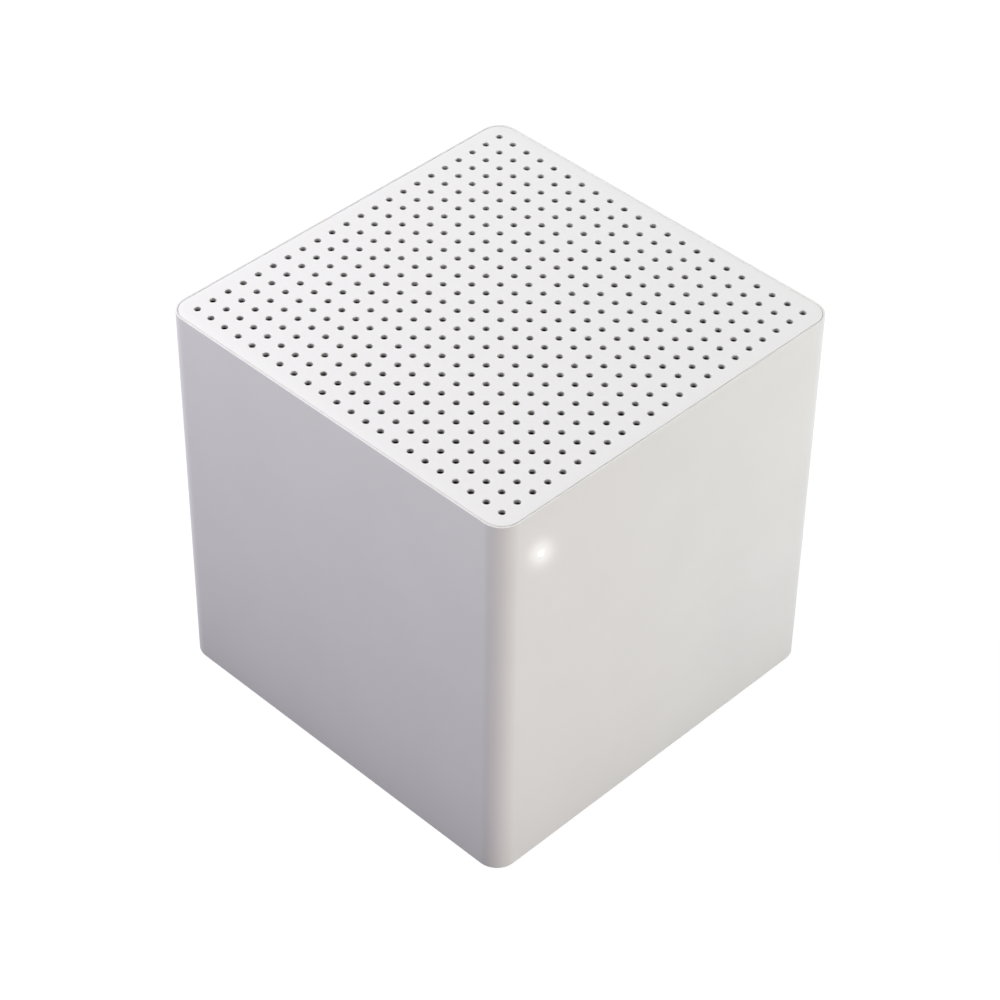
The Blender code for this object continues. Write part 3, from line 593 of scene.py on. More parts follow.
def housing_levels():
    """The wall's closed section as (inset, height): outside up, over the lip, down the ledge, inside down."""
    low, ledge = HOUSING_LOW[2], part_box("grille_cloth")[0][2] - 0.3 * MM
    foot, rim, wall = 0.35 * MM, 0.08 * MM, 2.2 * MM
    a = np.linspace(0, math.pi / 2, 6)
    bottom = np.stack([foot * (1 - np.sin(a)), low + foot * (1 - np.cos(a))], -1)
    over = np.stack([rim * (1 - np.cos(a)), TOP - rim + rim * np.sin(a)], -1)
    inner = [(LIP - 0.05 * MM, TOP), (LIP, TOP - 0.05 * MM), (LIP, ledge), (wall - 0.2 * MM, ledge),
        (wall, ledge - 0.2 * MM)]
    return np.concatenate([bottom, over, inner, [(wall, low + 0.2 * MM), (wall - 0.2 * MM, low)]])


def make_housing():
    """The square tube with its openings at the rear and for the light, then the posts and bosses in it."""
    shell = mesh_of("housing_body", [stack(HALF, HALF, CORNER, housing_levels(), 18, capped=False)])
    rear = HALF - 2.2 * MM
    port = (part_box("usb_socket_tongue")[0][2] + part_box("usb_socket_tongue")[1][2]) / 2
    flare = [(0, -1 * MM), (0, 1.85 * MM), (-0.35 * MM, 2.2 * MM), (-0.36 * MM, 3 * MM)]
    cutters = [stack(4.9 * MM, 2.05 * MM, 2.0 * MM, flare, 8, "rear", (0, rear, port))]
    for node in ("power_button", "pairing_button"):
        x = (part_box(node)[0][0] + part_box(node)[1][0]) / 2
        mouth = [(0, -1), (3.45, -1), (3.45, 1.9), (3.75, 2.2), (3.76, 3), (0, 3)]
        cutters.append(turned(mouth, 40, "rear", (x, rear, port)))
    cutters.append(rod(0.83, -1, 3, 28, "front", (LIGHT[0], -rear, LIGHT[2])))
    show("housing_body", cut(shell, "housing_body", cutters), HOUSING_WHITE, stands_for="housing_shell")

    low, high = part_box("base_plate")[1][2] + 0.3 * MM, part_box("baffle_plate")[0][2] - 0.3 * MM
    post = [(1.5, 0), (3.9, 0), (4.2, 0.3), (4.2, -0.3), (3.9, 0), (1.5, 0)]
    profile = [(r, d + h / MM) for (r, d), h in zip(post, [low] * 3 + [high] * 3)]
    posts = [hoop(profile, 28, at=(x * 36.6 * MM, y * 36.6 * MM, 0)) for x in (-1, 1) for y in (-1, 1)]
    start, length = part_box("main_board")[1][1] + 0.3 * MM, 5.2
    boss = [(1.15, 0), (2.2, 0), (2.4, 0.2), (2.6, length), (1.15, length)]
    bosses = [hoop(boss, 24, "rear", (x * 26 * MM, start, z * MM)) for x in (-1, 1) for z in (9.5, 34.5)]
    show("housing_posts", [*posts, *bosses], PLAIN_WHITE)


def make_grille():
    """The perforated sheet. At each hole a square cell narrows to a circle and rolls over the rim."""
    top, bottom, half, rim = GRILLE_HIGH[2], GRILLE_LOW[2], PITCH / 2, 0.04 * MM
    angle = np.linspace(0, TURN, 16, endpoint=False)
    circle = np.stack([np.cos(angle), np.sin(angle)], -1)
    cell = circle / np.abs(circle).max(1)[:, None] * half
    rings = [(cell, top), (circle * (HOLE_RADIUS + rim), top)]
    rings += [(circle * HOLE_RADIUS, top - rim), (circle * HOLE_RADIUS, bottom), (cell, bottom)]
    one = np.array([np.column_stack([xy, np.full(16, z)]) for xy, z in rings])
    rows = (np.arange(HOLES) - (HOLES - 1) / 2) * PITCH
    centres = np.array([(x, y, 0) for x in rows for y in rows])
    grids = [(one + centre, False, True) for centre in centres]

    steps = half * np.array([-1, -math.tan(math.pi / 8), 0, math.tan(math.pi / 8)])
    line = np.concatenate([steps + r for r in rows])
    reach = HOLES * half
    far = 0 * line + reach
    sides = [(far, line), (-line, far), (-far, -line), (line, -far)]
    edge = np.concatenate([np.stack(side, -1) for side in sides])

    def rim_line(inset):
        """The outer outline in step with the square: points near a corner slide onto its quarter circle."""
        outer, radius = GRILLE_HALF - inset, CORNER - LIP - SEAM - inset
        scaled = edge / reach * outer
        core = outer - radius
        near = (np.abs(scaled) > core).all(1)
        towards = np.abs(scaled) - core
        turn = np.arctan2(towards[:, 1], towards[:, 0])
        bent = np.sign(scaled) * (core + radius * np.stack([np.cos(turn), np.sin(turn)], -1))
        return np.where(near[:, None], bent, scaled)

    def level(points, z):
        return np.column_stack([points, np.full(len(points), z)])

    fold = 0.05 * MM
    a = np.linspace(0, math.pi / 2, 4)
    border = [level(edge, top)]
    border += [level(rim_line(fold * (1 - math.sin(t))), top - fold * (1 - math.cos(t))) for t in a]
    border += [level(rim_line(0), bottom), level(edge, bottom)]
    grids.append((np.array(border), False, True))
    show("grille_top", grids, GRILLE_WHITE, stands_for="grille_plate", sharp=40)

    low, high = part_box("grille_cloth")
    cloth = stack(high[0], high[1], 3.6 * MM, round_edge(high[2] - low[2], 0.08 * MM), 6, at=(0, 0, low[2]))
    made = show("grille_weave", [cloth], CLOTH, stands_for="grille_cloth")


def make_base():
    """The bottom cover with its counterbores and recesses, and the four turned feet."""
    low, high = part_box("base_plate")
    levels = round_edge(high[2] - low[2], 0.3 * MM)
    slab = mesh_of("base_cover", [stack(high[0], high[1], 1.8 * MM, levels, 6, at=(0, 0, low[2]))])
    cutters = []
    for node in nodes_named("base_screw"):
        middle = centre_of(node)
        bore = [(0, -1), (3.1, -1), (3.1, -0.01), (2.9, 0.2), (2.9, 1.2), (1.5, 1.2), (1.5, 4), (0, 4)]
        cutters.append(turned(bore, 28, at=(middle[0], middle[1], low[2])))
    for node in nodes_named("foot"):
        middle = centre_of(node)
        seat = [(0, -1), (5.35, -1), (5.35, -0.01), (5.2, 0.14), (5.2, 0.9), (0, 0.9)]
        cutters.append(turned(seat, 36, at=(middle[0], middle[1], low[2])))
    frame_line = np.array([(0, -0.25), (0, 0.2), (0.35, 0.2), (0.35, -0.25)]) * MM
    cutters.append(stack(18 * MM, 12 * MM, 1.5 * MM, frame_line, 6, at=(0, 0, low[2]), capped=False))
    show("base_cover", cut(slab, "base_cover", cutters), PLAIN_WHITE, stands_for="base_plate")
    for node in nodes_named("foot"):
        middle, height = centre_of(node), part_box(node)[1][2] / MM
        pad = [(0, 0.18), (3.2, 0.18), (3.5, 0), (4.6, 0), (4.88, 0.12), (5, 0.4), (5, height - 0.1),
            (4.9, height), (0, height)]
        show(node + "_rubber", [turned(pad, 48, at=(middle[0], middle[1], 0))], FOOT_RUBBER, stands_for=node)


def nodes_named(start):
    """Names of the frame's nodes that begin like this, in order."""
    return sorted(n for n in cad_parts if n.startswith(start))


def centre_of(node):
    """The middle of a node's box, in metres."""
    low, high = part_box(node)
    return np.array((low + high) / 2)


def heights(node):
    """A node's lowest and highest z, in millimetres."""
    low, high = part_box(node)
    return low[2] / MM, high[2] / MM


# ---- Screws ------------------------------------------------------


def screw(name, tip_of, facing, head, rise, shank, length, at):
    """A pan-head screw: a dome with a six-lobed socket, and a shank with a triangle wave on a helix."""
    sides = 48
    angle = np.linspace(0, TURN, sides, endpoint=False)
    lobe = 1 + 0.16 * np.cos(6 * angle)
    key = head * 0.42
    rings = [(0 * angle, rise * 0.35), (key * 0.92 * lobe, rise * 0.35), (key * lobe, rise * 0.93),
        (key * 1.08 * lobe, rise)]
    for t in np.linspace(0.15, 1, 6) * math.pi / 2:
        blend = 1 + 0.16 * np.cos(6 * angle) * max(0, 1 - 2 * t)
        radius = key * 1.15 + (head - key * 1.15) * math.sin(t)
        rings.append((radius * blend, rise * (0.25 + 0.75 * math.cos(t) ** 0.7) if t < 1.57 else rise * 0.25))
    rings += [(0 * angle + head * 0.98, 0), (0 * angle + shank, 0)]
    grid = [np.stack([r * np.cos(angle), r * np.sin(angle), 0 * angle + h], -1) for r, h in rings]
    pitch = shank * 0.75
    for down in np.linspace(0.1 * MM, length - 1.5 * shank, int((length / pitch) * 6)):
        wave = np.abs(((down / pitch + angle / TURN) % 1) - 0.5) * 2
        radius = shank * (0.78 + 0.22 * wave)
        grid.append(np.stack([radius * np.cos(angle), radius * np.sin(angle), 0 * angle - down], -1))
    tip = 0.25 * shank
    grid.append(np.stack([tip * np.cos(angle), tip * np.sin(angle), 0 * angle - length], -1))
    grid.append(np.stack([0 * angle, 0 * angle, 0 * angle - length], -1))
    show(name, [(placed(np.array(grid), facing, at), False, True)], ZINC, stands_for=tip_of, sharp=45)


def make_screws():
    for node in nodes_named("base_screw"):
        low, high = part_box(node)
        x, y, _ = centre_of(node)
        screw(node + "_zinc", node, "down", 2.6 * MM, 0.9 * MM, 1.25 * MM, high[2] - low[2] - 0.9 * MM,
            (x, y, low[2] + 0.9 * MM))
    for node in nodes_named("baffle_screw") + nodes_named("driver_screw"):
        low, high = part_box(node)
        x, y, _ = centre_of(node)
        screw(node + "_zinc", node, "up", 2.6 * MM, 1.6 * MM, 1.25 * MM, high[2] - low[2] - 1.6 * MM,
            (x, y, high[2] - 1.6 * MM))
    for node in nodes_named("board_screw"):
        low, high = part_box(node)
        x, _, z = centre_of(node)
        screw(node + "_zinc", node, "front", 1.9 * MM, 1.3 * MM, 0.9 * MM, high[1] - low[1] - 1.3 * MM,
            (x, low[1] + 1.3 * MM, z))


# ---- Rear socket, buttons and status light -----------------------


def make_rear():
    """The socket's folded shell, its tongue with contacts, and the two push buttons with a dished face."""
    low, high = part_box("usb_socket_shell")
    port, depth = (low[2] + high[2]) / 2, high[1] - low[1]
    lip = [(0.3, 0.8), (0.3, depth / MM - 0.1), (0.22, depth / MM), (0.06, depth / MM),
        (0, depth / MM - 0.08), (0, 0.15), (0.15, 0)]
    rings = stack(4.47 * MM, 1.63 * MM, 1.6 * MM, np.array(lip) * MM, 10, "rear", (0, low[1], port),
        capped=False)[0]
    ends = [rings[:1] * (0, 1, 0) + (0, 0, port), rings, rings[-1:] * (0, 1, 0) + (0, 0, port)]
    show("socket_shell", [(np.concatenate(ends), False, True)], STAINLESS, stands_for="usb_socket_shell")
    low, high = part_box("usb_socket_tongue")
    tongue = stack((high[0] - low[0]) / 2, (high[2] - low[2]) / 2, 0.3 * MM,
        round_edge(high[1] - low[1], 0.15 * MM), 4, "rear", (0, low[1], port))
    show("socket_tongue", [tongue], BLACK_MOULDING, stands_for="usb_socket_tongue")
    pads = []
    for k in range(12):
        x = (k - 5.5) * 0.5 * MM
        for side in (-1, 1):
            z = port + side * 0.36 * MM
            pads.append(block((x - 0.13 * MM, low[1] + 0.9 * MM, z - 0.03 * MM),
                (x + 0.13 * MM, high[1] - 0.5 * MM, z + 0.03 * MM), 0.02 * MM, 1))
    show("socket_contacts", pads, GOLD)

    for node in ("power_button", "pairing_button"):
        low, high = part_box(node)
        x, _, z = centre_of(node)
        long, skirt = (high[1] - low[1]) / MM, 0.8
        a = np.linspace(0, math.pi / 2, 5)
        edge = [(2.85 + 0.35 * math.cos(t), long - 0.35 + 0.35 * math.sin(t)) for t in a]
        dish = [(r, long - 0.28 * (1 - (r / 2.85) ** 2)) for r in np.linspace(2.5, 0, 7)]
        profile = [(0, 0), (1.4, 0), (1.5, 0.1), (1.5, skirt), (3.9, skirt), (4, skirt + 0.1),
            (4, 2 * skirt - 0.1), (3.9, 2 * skirt), (3.3, 2 * skirt), (3.2, 2 * skirt + 0.1)]
        show(node + "_cap", [turned([*profile, *edge, *dish], 48, "rear", (x, low[1], z))], PLAIN_WHITE, node,
            node)
    x, _, z = centre_of("power_button")
    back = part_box("power_button")[1][1]
    dot = [(0, 0.12), (0.25, 0.1), (0.38, 0), (0.42, -0.3), (0, -0.3)]
    show("power_button_dot", [turned(dot, 20, "rear", (x, back - 0.14 * MM, z))], PLAIN_WHITE, "power_button")
    for node in ("power_switch", "pairing_switch"):
        low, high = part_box(node)
        x, _, z = centre_of(node)
        can = block(low, (high[0], high[1] - 0.35 * MM, high[2]), 0.35 * MM, 3)
        dome = [(0, 0), (1.9, 0), (1.85, 0.15), (1.4, 0.28), (0.7, 0.34), (0, 0.35)]
        show(node + "_body", [can, turned(dome, 32, "rear", (x, high[1] - 0.36 * MM, z))], SWITCH_BLACK,
            stands_for=node)


def make_light():
    low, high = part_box("light_pipe")
    length = (high[1] - low[1]) / MM
    a = np.linspace(0, math.pi / 2, 5)
    tip = [(0.62 + 0.18 * math.cos(t), length - 0.12 + 0.1 * math.sin(t)) for t in a]
    profile = [(0, 0), (0.7, 0), (0.8, 0.1), (0.8, 1.2), (1.2, 1.2), (1.3, 1.3), (1.3, 1.9), (1.2, 2.0),
        (0.8, 2.0), *tip, (0.3, length), (0, length)]
    show("light_pipe_lit", [turned(profile, 32, "front", (LIGHT[0], high[1], LIGHT[2]))], LIT_TIP,
        stands_for="light_pipe")
    low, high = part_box("status_led")
    show("status_led_resin", [block(low, high, 0.2 * MM, 3)], LED_RESIN, stands_for="status_led")


# ---- Speaker driver ----------------------------------------------


def flexes(piece):
    """Bakes the piece's place into its mesh and reads out its points, which nothing then uses."""
    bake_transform(piece)
    places = np.zeros(len(piece.data.vertices) * 3, np.float32)
    piece.data.vertices.foreach_get("co", places)


def make_driver():
    """Cone, cap, coil, surround, spider and motor, turned round the axis. The cone follows a power curve."""
    neck, rim, wall = 8.2, 22.2, 0.55
    base, top = heights("driver_cone")
    t = np.linspace(0, 1, 28)
    ribs = 0.10 * np.sin(t * 5 * math.pi) ** 2 * (t > 0.25) * (t < 0.9)
    under = np.stack([neck + wall + (rim - neck - wall) * t, base + (top - base) * t**1.25 + ribs], -1)
    curve = base + wall * (1 - t) + (top - base) * t**1.25 + ribs
    over = np.stack([neck + (rim - neck - wall) * t, curve], -1)
    show("cone_paper_shell", [hoop(np.concatenate([under, over[::-1]]), 96)], PAPER, "cone", "driver_cone")

    base, _ = heights("driver_dust_cap")
    a = np.linspace(0, math.pi / 2, 16)
    outer = np.stack([10 * np.cos(a), base + 3.6 * np.sin(a)], -1)
    inner = np.stack([9.5 * np.cos(a), base + 3.1 * np.sin(a)], -1)
    lines = [outer, inner, np.array([outer[0], inner[0]])]
    show("dust_cap_dome", [turned(line, 64) for line in lines], PAPER, "cone", "driver_dust_cap")
    glue = [(9.6, 65.1), (10.3, 65.0), (10.9, 65.35), (10.6, 65.9), (10.0, 66.2), (9.7, 65.8)]
    show("dust_cap_glue", [hoop(glue, 64)], SURROUND_RUBBER, "cone")

    coil = [(8.0, 49.5), (8.62, 49.5), (8.7, 49.6), (8.7, 58.4), (8.62, 58.5), (8.3, 58.5), (8.3, 62.5),
        (8.0, 62.5)]
    show("voice_coil_winding", [hoop(coil, 64)], COIL, "cone", "driver_voice_coil")

    low, _ = heights("driver_surround")
    a = np.linspace(0, math.pi, 18)
    inside = np.stack([24.5 - 1.9 * np.cos(a), low + 1.9 * np.sin(a)], -1)
    outside = np.stack([24.5 + 2.5 * np.cos(a), low + 2.5 * np.sin(a)], -1)
    rim = [(28.9, low), (29, low + 0.1), (29, low + 0.5), (28.9, low + 0.6), (27.1, low + 0.6)]
    section = [(20.9, low), *inside, *rim, *outside[1:-1], (21.9, low + 0.6), (20.9, low + 0.6)]
    roll = show("surround_roll", [hoop(section, 96)], SURROUND_RUBBER, None, "driver_surround")
    flexes(roll)

    t = np.linspace(0, 1, 60)
    wave = np.stack([9.0 + 13.8 * t, 61.0 + 0.6 * np.sin(6 * math.pi * t)], -1)
    disc = hoop(np.concatenate([wave, (wave + (0, 0.4))[::-1]]), 64)
    flexes(show("spider_disc", [disc], SPIDER, None, "driver_spider"))

    b, t = heights("driver_top_plate")
    plate = [(9.1, b), (21.7, b), (22, b + 0.3), (22, t - 0.3), (21.7, t), (9.3, t), (9.1, t - 0.2)]
    show("motor_top_plate", [hoop(plate, 72)], SOFT_IRON, stands_for="driver_top_plate")
    b, t = heights("driver_magnet")
    ring = [(12, b), (23.2, b), (23.75, b + 0.22), (24, b + 0.8), (24, t - 0.8), (23.75, t - 0.22), (23.2, t),
        (12, t)]
    show("motor_magnet", [hoop(ring, 72)], FERRITE, stands_for="driver_magnet")
    b, t = heights("driver_yoke")
    dish = [(0, b + 0.4), (4, b + 0.4), (4.3, b), (20.5, b), (21.6, b + 0.5), (22, b + 1.4), (22, b + 3.0)]
    yoke = [*dish, (21.8, b + 3.2), (8.2, b + 3.2), (7.6, b + 3.8), (7.6, t - 0.3), (7.3, t), (0, t)]
    show("motor_yoke", [turned(yoke, 72)], SOFT_IRON, stands_for="driver_yoke")


def make_basket():
    """The basket: a square pressed flange with a stepped seat, and a bowl with windows cut at the left, right
    and front.
    """
    floor, top = heights("driver_basket")
    sides = 96
    angle = np.linspace(0, TURN, sides, endpoint=False) + math.pi / sides
    ray = np.stack([np.cos(angle), np.sin(angle)], -1)
    square = ray * np.minimum(32 / np.abs(ray).max(1), 39.5)[:, None]
    rings = [(27.0 * ray, top - 0.6), (27.2 * ray, top - 0.05), (27.5 * ray, top), (31.8 / 32 * square, top),
        (square, top - 0.2), (square, top - 1.0), (31.8 / 32 * square, top - 1.2), (28.6 * ray, top - 1.2)]
    bowl = [(28.2, top - 2.0), (23.6, floor + 0.3), (23.3, floor), (9.6, floor), (9.6, floor + 1.1),
        (22.5, floor + 1.1), (27.0, top - 1.6)]
    rings += [(r * ray, z) for r, z in bowl]
    grid = np.array([np.column_stack([xy, np.full(sides, z)]) for xy, z in rings]) * MM
    body = mesh_of("basket_pressing", [(grid, True, True)])
    narrow, wide, length, middle = 4.3 * MM, 9.5 * MM, [(0, 19 * MM), (0, 40 * MM)], (0, 0, 66.3 * MM)
    right = stack(narrow, wide, 1.4 * MM, length, 6, "right", middle)
    left = (right[0] * (-1, 1, 1), False, True)
    cutters = [right, left, stack(wide, narrow, 1.4 * MM, length, 6, "front", middle)]
    for node in nodes_named("driver_screw"):
        x, y, _ = centre_of(node)
        cutters.append(rod(1.6, 60, 80, 24, at=(x, y, 0)))
    show("basket_pressing", cut(body, "basket_pressing", cutters), BASKET, stands_for="driver_basket",
        sharp=40)


# ---- Electronics -------------------------------------------------


def chips(name, places, sizes, face, paint, along_axis, edge=0.08 * MM):
    """Small bodies on a board: each is a rounded block at (u, v) whose foot is on the board's face."""
    made = []
    for (u, v), (a, b, h) in zip(places, sizes):
        u, v, a, b, h = u * MM, v * MM, a * MM / 2, b * MM / 2, h * MM
        if along_axis == "front":
            made.append(block((u - a, face - h, v - b), (u + a, face + 0.01 * MM, v + b), edge, 1))
        else:
            made.append(block((u - a, v - b, face - 0.01 * MM), (u + a, v + b, face + h), edge, 1))
    show(name, made, paint)


def make_boards():
    """The main board and the front strip, rounded slabs, and the parts soldered to them."""
    low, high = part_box("main_board")
    middle = (low + high) / 2
    half = (high - low) / 2
    levels = round_edge(high[1] - low[1], 0.12 * MM, 2)
    laminate = stack(half[0], half[2], 1.5 * MM, levels, 5, "rear", (0, low[1], middle[2]))
    slab = mesh_of("main_board_laminate", [laminate])
    holes = [rod(1.3, -1, 3, 24, "rear", (x * 26 * MM, low[1], 34.5 * MM)) for x in (-1, 1)]
    show("main_board_laminate", cut(slab, "main_board_laminate", holes), BOARD, stands_for="main_board")
    front = low[1]
    rng = np.random.default_rng(7)
    u, v = np.meshgrid(np.arange(-27, 28, 2.9), [7.6, 10.2, 12.9, 33.0, 35.9])
    spots = np.stack([u.ravel(), v.ravel()], -1) + rng.uniform(-0.35, 0.35, (u.size, 2))
    across, up = spots.T
    near_bosses = (abs(abs(across) - 26) < 4) & (up > 30)
    near_plug = (abs(across - 2) < 5) & (up > 31)
    near_processor = (abs(across + 14) < 5.5) & (up < 15)
    spots = spots[~(near_bosses | near_plug | near_processor)]
    chips("chip_capacitors", spots, [(1.0, 0.55, 0.5)] * len(spots), front, CERAMIC, "front", 0.05 * MM)
    chips("chip_packages", [(-14, 10.6), (10, 10.4), (23.2, 12.8)], [(7, 7, 0.85), (5, 4, 0.9), (3, 3, 0.8)],
        front, CHIP_BLACK, "front")
    sideways = [(-14 + s * 3.7, 10.6 + k * 0.8) for s in (-1, 1) for k in range(-3, 4)]
    upright = [(10 + k * 0.8, 10.4 + s * 2.2) for s in (-1, 1) for k in range(-2, 3)]
    sizes = [(0.7, 0.3, 0.2)] * len(sideways) + [(0.3, 0.7, 0.2)] * len(upright)
    chips("chip_leads", sideways + upright, sizes, front, SHIELD, "front", 0.04 * MM)

    low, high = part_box("wifi_module")
    half, middle = (high - low) / 2, (high + low) / 2
    place = (middle[0] - 1.2 * MM, high[1] - 0.8 * MM, middle[2])
    levels = np.array([(0.1, 0), (0, 0.1), (0, 1.55), (0.25, 1.8), (1.4, 1.8), (1.6, 1.7)]) * MM
    can = stack(half[0] - 1.6 * MM, half[2] - 0.8 * MM, 0.7 * MM, levels, 5, "front", place)
    card = block((low[0], high[1] - 0.8 * MM, low[2]), (high[0], high[1], high[2]), 0.1 * MM)
    show("wifi_card", [card], BOARD, stands_for="wifi_module")
    show("wifi_shield", [can], SHIELD)
    fold = [(high[0] / MM - 1.9, low[2] / MM + 1.5 + k * 1.6) for k in range(7)]
    chips("wifi_antenna", fold, [(2.2, 0.35, 0.08)] * 7, high[1] - 0.8 * MM, GOLD, "front", 0.03 * MM)

    low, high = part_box("amplifier_heatsink")
    plate = block((low[0], high[1] - 1.4 * MM, low[2]), high, 0.2 * MM)
    fins = []
    for k in range(5):
        x = 6.5 * MM + 2.7 * k * MM
        fins.append(block((x, low[1], low[2] + 0.5 * MM),
            (x + 1.5 * MM, high[1] - 1.2 * MM, high[2] - 0.5 * MM), 0.3 * MM, 3))
    show("amplifier_fins", [plate, *fins], ALUMINIUM, stands_for="amplifier_heatsink")

    low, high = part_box("reservoir_capacitor")
    x, _, z = centre_of("reservoir_capacitor")
    groove = [(4, 1.5), (3.75, 1.75), (3.75, 2.1), (4, 2.35)]
    can = [(0, 0), (3.7, 0), (3.95, 0.2), (4, 0.5), *groove, (4, 10), (3.85, 10.4), (3.5, 10.6), (3.2, 10.5),
        (0, 10.5)]
    show("reservoir_can", [turned(can, 48, "front", (x, high[1], z))], ALUMINIUM,
        stands_for="reservoir_capacitor")

    low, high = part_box("front_board")
    middle = (low + high) / 2
    half = (high - low) / 2
    levels = round_edge(high[2] - low[2], 0.1 * MM, 2)
    strip = stack(half[0], half[1], 0.8 * MM, levels, 4, at=(0, middle[1], low[2]))
    show("front_strip", [strip], STRIP, stands_for="front_board")
    zigzag = [(x, -38.2 + 0.9 * (k % 2)) for k, x in enumerate(np.arange(-32, 33, 2.6))]
    spots = [(x, y) for x, y in zigzag if abs(abs(x) - 16) > 3.4]
    chips("strip_capacitors", spots, [(1.0, 0.55, 0.45)] * len(spots), high[2], CERAMIC, "up", 0.05 * MM)
    chips("strip_packages", [(-6, -35.6), (5, -35.6)], [(4, 3, 0.8), (3, 3, 0.8)], high[2], CHIP_BLACK, "up")
    for side in ("left", "right"):
        low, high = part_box("microphone_" + side)
        x, y, _ = centre_of("microphone_" + side)
        body = mesh_of("microphone_can", [block(low, high, 0.15 * MM, 3)])
        body = cut(body, "microphone_can", [rod(0.3, -0.4, 0.5, 20, at=(x, y, high[2]))])
        show("microphone_can_" + side, body, SHIELD, stands_for="microphone_" + side)
        b, t = heights("microphone_boot_" + side)
        outside = [(1.0, b), (2.5, b), (2.7, b + 0.2), (2.45, (b + t) / 2), (2.5, t - 0.6), (2.2, t - 0.1)]
        boot = [*outside, (2.1, t), (1.3, t), (1.0, t - 0.3)]
        show("microphone_seal_" + side, [hoop(boot, 32, at=(x, y, 0))], BOOT_RUBBER,
            stands_for="microphone_boot_" + side)


# ---- Battery and leads -------------------------------------------


def make_battery():
    """Two cells turned round their long axis, with a groove and a crimped rim under the positive cap."""
    for node in nodes_named("battery_cell"):
        low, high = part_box(node)
        middle = centre_of(node)
        h = (high[0] - low[0]) / 2 / MM
        foot = [(0, -h), (7.4, -h), (7.6, -h + 0.15), (8.6, -h + 0.1), (9.0, -h + 0.15), (9.2, -h + 0.5)]
        groove = [(9.2, h - 4.6), (9.02, h - 4.2), (8.95, h - 3.8), (9.02, h - 3.4), (9.2, h - 3.0)]
        crimp = [(9.2, h - 1.6), (9.0, h - 1.1), (8.6, h - 1.0), (7.2, h - 1.0), (7.0, h - 1.15)]
        cap = [(3.6, h - 1.15), (3.4, h - 0.2), (3.2, h), (0, h)]
        show(node + "_sleeve", [turned(foot + groove + crimp + cap, 64, "right", middle)], SLEEVE,
            stands_for=node)
    low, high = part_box("battery_protection_board")
    show("cell_board", [block(low, high, 0.12 * MM)], SIDE_BOARD, stands_for="battery_protection_board")
    face = high[0] / MM
    corners = [((face - 0.01, y - 1.1, 13), (face + 0.7, y + 1.1, 16)) for y in (-8, -4, 0.6)]
    show("cell_board_chips", [block(np.array(a) * MM, np.array(b) * MM, 0.1 * MM) for a, b in corners],
        CHIP_BLACK)


def pair(name, route, node, plugs):
    """Two wires twisted round each other along a route: each keeps to the route plus a turning offset."""
    path = flowing(np.array(route) * MM, 240)
    _, side, up = along(path)
    run = np.concatenate([[0], np.cumsum(np.linalg.norm(np.diff(path, axis=0), axis=1))])
    for k, paint in ((0, RED_LEAD), (1, BLACK_LEAD)):
        angle = (run / (7 * MM) * TURN + k * math.pi)[:, None]
        wire = path + 0.42 * MM * (np.cos(angle) * side + np.sin(angle) * up)
        show(f"{name}_{'red' if k == 0 else 'black'}", [tube(wire, 0.39 * MM, 10)], paint,
            stands_for=node if k == 0 else ())
    show(f"{name}_plug", [block(np.array(a) * MM, np.array(b) * MM, 0.2 * MM) for a, b in plugs], CONNECTOR)


def make_leads():
    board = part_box("main_board")[0][1] / MM - 0.8
    pair("speaker_wires", [(2, board, 34.5), (2, 30.5, 38), (1, 28.5, 46), (0, 26.8, 52), (0, 24.9, 56.2)],
        "speaker_lead", [((0.4, board - 1.2, 33.4), (3.6, board + 0.75, 35.6))])
    route = [(34.8, 6, 16), (36.4, 7, 16.3), (37.5, 11, 17.5), (37.3, 19, 20), (34.5, 26, 22.5),
        (29.5, 29.5, 24)]
    pair("battery_wires", [*route, (27, 31, 24.2), (26.5, board, 24.2)], "battery_lead",
        [((24.9, board - 1.2, 23), (28.1, board + 0.75, 25.4))])
    route = [(28, -36.6, 76.2), (28, -36.6, 68), (28.5, -36, 60), (31, -32.5, 52), (36, -27, 46),
        (38, -18, 42)]
    route += [(38.3, -5, 39), (38.2, 10, 37), (37, 21, 35), (33, 27.5, 33), (28.5, 29.5, 30.5),
        (24, 31, 28.5), (22, board, 28)]
    pair("front_wires", route, "front_board_lead", [((20.6, board - 1.2, 26.8), (23.4, board + 0.75, 29.2))])


def dress_frame():
    """Materials for the nodes that keep their own shape."""
    for node, paint in {
        "baffle_plate": BLACK_MOULDING,
        "battery_tray": BLACK_MOULDING,
        "battery_clamp": BLACK_MOULDING,
        "driver_gasket": GASKET_FOAM,
        "driver_terminal": SIDE_BOARD,
    }.items():
        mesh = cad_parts[node].data
        mesh.materials.clear()
        mesh.materials.append(paint)


# ---- Studio ------------------------------------------------------


SHADE_REACH = 14  # how far the cube's own shade on the floor reaches, in millimetres


def panel(name, corners, paint, for_camera=False):
    """A flat face of the studio, either seen by the camera or throwing light on the object, never both."""
    made = bpy.data.objects.new(name, bpy.data.meshes.new(name))
    made.data.from_pydata(corners, [], [(0, 1, 2, 3)])
    made.data.materials.append(paint.done())
    bpy.context.scene.collection.objects.link(made)
    made.visible_camera = for_camera
    made.visible_diffuse = made.visible_glossy = made.visible_shadow = not for_camera
    return made


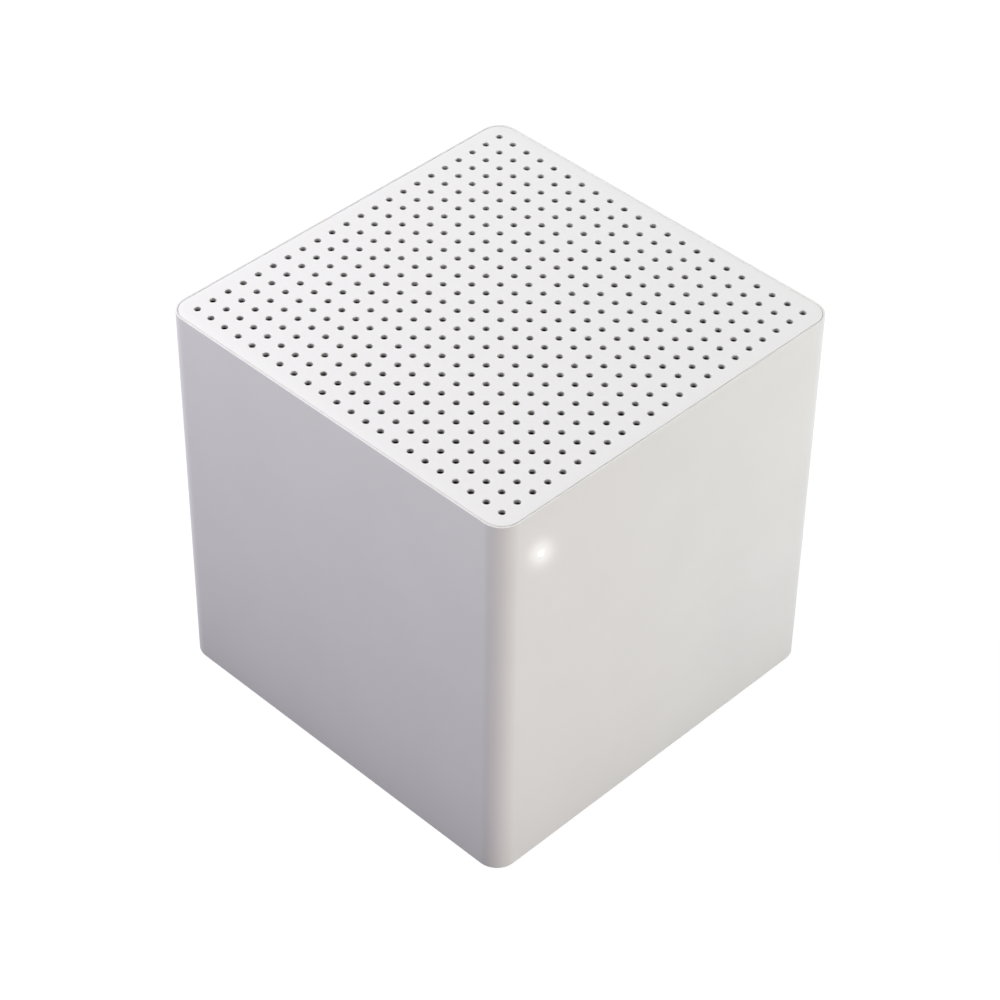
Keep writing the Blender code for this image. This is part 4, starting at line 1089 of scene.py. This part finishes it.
def make_floor():
    """A white floor for the camera, the light it throws back, less so near the cube, and a card for sheen."""
    names = ("studio_white", "studio_bounce", "studio_card")
    white, bounce, sheen = (Paint(name, Roughness=1.0, Specular_IOR_Level=0.0) for name in names)
    white.set("Base Color", (0.06, 0.06, 0.06)).set("Emission Color", (1.0, 1.0, 1.0))
    white.set("Emission Strength", 0.975)
    x, y, _ = bounce.axes()
    past_x, past_y = (abs(x) - HALF) * (abs(x) > HALF) / MM, (abs(y) - HALF) * (abs(y) > HALF) / MM
    shade = 2.718 ** ((past_x * past_x + past_y * past_y) * (-1 / SHADE_REACH**2))
    bounce.set("Base Color", (0.0, 0.0, 0.0)).set("Emission Strength", 1.0)
    bounce.set("Emission Color", bounce.mix(shade, (0.458, 0.432, 0.522), (0.28, 0.264, 0.319)))
    sheen.set("Base Color", (0.0, 0.0, 0.0)).set("Emission Color", (1.0, 1.0, 1.0))
    sheen.set("Emission Strength", 0.45)
    for name, paint, height in (("studio_floor", white, 0), ("studio_bounce", bounce, -1 * MM)):
        corners = [(-4, -4, height), (4, -4, height), (4, 4, height), (-4, 4, height)]
        panel(name, corners, paint, for_camera=paint is white)
    card = panel("studio_card", [(-1, 5.4, 0), (5.4, -1, 0), (5.4, -1, 6), (-1, 5.4, 6)], sheen)
    card.visible_diffuse = card.visible_shadow = False


def soft_light(name, place, size, power, colour, aim=(0, 0, 0.045)):
    """A square softbox that faces the aim point."""
    light = bpy.data.lights.new(name, "AREA")
    light.shape, light.size, light.energy, light.color = "SQUARE", size, power, colour
    made = bpy.data.objects.new(name, light)
    made.location = place
    made.rotation_euler = (Vector(aim) - Vector(place)).to_track_quat("-Z", "Y").to_euler()
    bpy.context.scene.collection.objects.link(made)


def make_lights():
    soft_light("rear_high", (-0.289, 0.501, 0.729), 0.6, 10.0, (0.975, 0.962, 1.0))
    soft_light("front_low", (0.0, -0.886, 0.196), 0.6, 6.05, (1.0, 0.955, 0.854))
    soft_light("right_near", (0.25, -0.12, 0.08), 0.15, 0.295, (0.814, 1.0, 0.942))
    soft_light("right_high", (0.5, 0.1, 0.5), 0.3, 0.436, (0.936, 1.0, 0.83))
    world = bpy.data.worlds.new("studio_air")
    world.use_nodes = True
    world.node_tree.nodes["Background"].inputs["Color"].default_value = (1, 1, 1, 1)
    world.node_tree.nodes["Background"].inputs["Strength"].default_value = 0.005
    bpy.context.scene.world = world
    bpy.context.scene.view_settings.view_transform = "Standard"
    bpy.context.scene.view_settings.look = "None"


def make_camera():
    """A long lens from above the front left corner, turned a little about its own axis."""
    lens = bpy.data.cameras.new("studio_camera")
    lens.lens, lens.sensor_width, lens.clip_start, lens.clip_end = 112.3, 36.0, 0.05, 20.0
    camera = bpy.data.objects.new("studio_camera", lens)
    place, aim = Vector((-0.3166, -0.3086, 0.4303)), Vector((-0.0051, -0.0055, 0.0463))
    roll = math.radians(0.84)
    turn = (aim - place).to_track_quat("-Z", "Y").to_matrix() @ Matrix.Rotation(roll, 3, "Z")
    camera.matrix_world = Matrix.Translation(place) @ turn.to_4x4()
    bpy.context.scene.collection.objects.link(camera)
    bpy.context.scene.camera = camera


# ---- Everything --------------------------------------------------

make_camera()
make_lights()
make_floor()
make_housing()
make_grille()
make_base()
make_screws()
make_rear()
make_light()
make_driver()
make_basket()
make_boards()
make_battery()
make_leads()
dress_frame()

bpy.context.view_layer.update()
